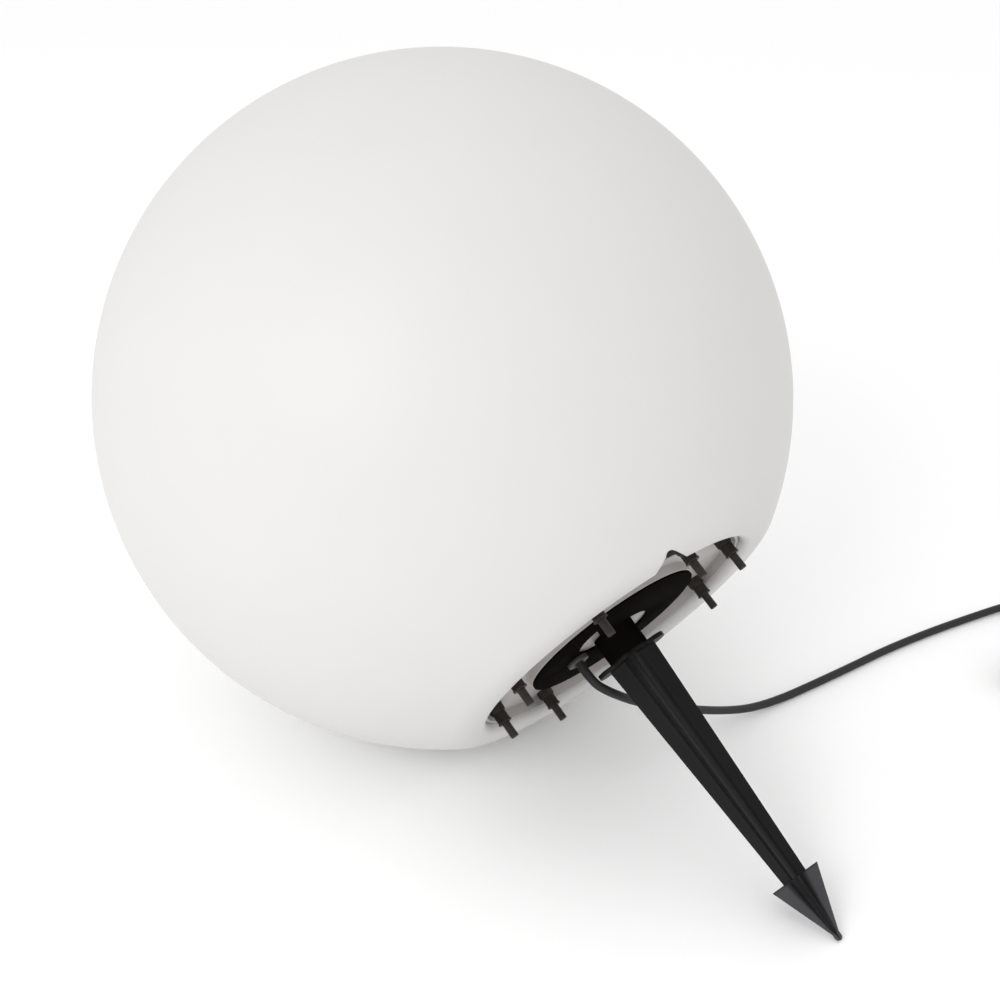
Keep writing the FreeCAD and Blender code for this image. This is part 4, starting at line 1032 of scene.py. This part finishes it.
# Places and lengths in metres, angles in degrees, the lens and the sensor in millimetres, and
# the key light's power in watts.
CAMERA_PLACE = (0.6510, -0.6017, 0.6656)
CAMERA_TILT = 62.1
CAMERA_TURN = 47.57
CAMERA_LENS = 50
CAMERA_SENSOR = 36
FLOOR_WIDTH = 14
FLOOR_LEVEL = -0.0002
KEY_PLACE = (0.61, -2.2, 1.65)
KEY_TARGET = (-0.05, 0, 0.25)
KEY_WIDTH = 1.3
KEY_POWER = 24


def add_camera(scene):
    """The camera, looking down at the lamp from the spike's side."""
    camera_data = bpy.data.cameras.new("camera")
    camera_data.lens = CAMERA_LENS
    camera_data.sensor_width = CAMERA_SENSOR
    camera = bpy.data.objects.new("camera", camera_data)
    scene.collection.objects.link(camera)
    camera.location = CAMERA_PLACE
    camera.rotation_euler = (math.radians(CAMERA_TILT), 0, math.radians(CAMERA_TURN))
    scene.camera = camera


def add_floor():
    """The paper floor, a hair under the lamp."""
    object_mode()
    bpy.ops.object.select_all(action="DESELECT")
    bpy.ops.mesh.primitive_plane_add(size=FLOOR_WIDTH, location=(0, 0, FLOOR_LEVEL))
    floor = bpy.context.active_object
    floor.name = "floor"
    coat(floor, matt_paper())


def add_white_room(scene):
    """Even white light from all round."""
    world = bpy.data.worlds.new("studio")
    scene.world = world
    world.use_nodes = True
    sky = world.node_tree.nodes["Background"]
    sky.inputs["Color"].default_value = (1.0, 1.0, 1.0, 1.0)
    sky.inputs["Strength"].default_value = 1.0


def add_key_light(scene):
    """One large soft disc of light, high up and to the left of the camera."""
    light = bpy.data.lights.new("key", "AREA")
    light.shape = "DISK"
    light.size = KEY_WIDTH
    light.energy = KEY_POWER
    key = bpy.data.objects.new("key", light)
    scene.collection.objects.link(key)
    key.location = KEY_PLACE
    beam = Vector(KEY_TARGET) - Vector(KEY_PLACE)
    key.rotation_euler = beam.to_track_quat("-Z", "Y").to_euler()


class MakeStage(bpy.types.Operator):
    """Set the camera, the pale floor and the soft studio light"""

    bl_idname = "globe_light.stage"
    bl_label = "Stage"

    def execute(self, context):
        add_camera(context.scene)
        add_floor()
        add_white_room(context.scene)
        add_key_light(context.scene)
        context.scene.view_settings.view_transform = "Standard"
        return {"FINISHED"}


class GlobeLightPanel(bpy.types.Panel):
    """Sidebar panel that lists the sizes, the colours and the steps"""

    bl_idname = "VIEW3D_PT_globe_light"
    bl_label = "Globe light"
    bl_space_type = "VIEW_3D"
    bl_region_type = "UI"
    bl_category = "Globe light"

    def draw(self, context):
        for group in (context.scene.globe_sizes, context.scene.stud_sizes,
                      context.scene.cable_sizes, context.scene.lamp_colours):
            for name in group.bl_rna.properties.keys():
                if name not in ("rna_type", "name"):
                    self.layout.prop(group, name)
        for operator in OPERATORS:
            self.layout.operator(operator.bl_idname)


OPERATORS = (MakeStage, MakeCable, MakeGlobe, MakeBase, MakeFixings, MakeSpike, FinishInside)
CLASSES = (GlobeSizes, StudSizes, CableSizes, LampColours, *OPERATORS, GlobeLightPanel)


def register():
    """Makes the groups, the operators and the panel known to Blender."""
    for kind in CLASSES:
        bpy.utils.register_class(kind)
    bpy.types.Scene.globe_sizes = PointerProperty(type=GlobeSizes)
    bpy.types.Scene.stud_sizes = PointerProperty(type=StudSizes)
    bpy.types.Scene.cable_sizes = PointerProperty(type=CableSizes)
    bpy.types.Scene.lamp_colours = PointerProperty(type=LampColours)


def unregister():
    """Takes all of that away again."""
    del bpy.types.Scene.lamp_colours
    del bpy.types.Scene.cable_sizes
    del bpy.types.Scene.stud_sizes
    del bpy.types.Scene.globe_sizes
    for kind in reversed(CLASSES):
        bpy.utils.unregister_class(kind)


def main():
    """Builds the whole scene."""
    register()
    bpy.ops.globe_light.stage()
    bpy.ops.globe_light.cable()
    bpy.ops.globe_light.globe()
    bpy.ops.globe_light.base()
    bpy.ops.globe_light.fixings()
    bpy.ops.globe_light.spike()
    bpy.ops.globe_light.inside()


if __name__ == "__main__":
    main()
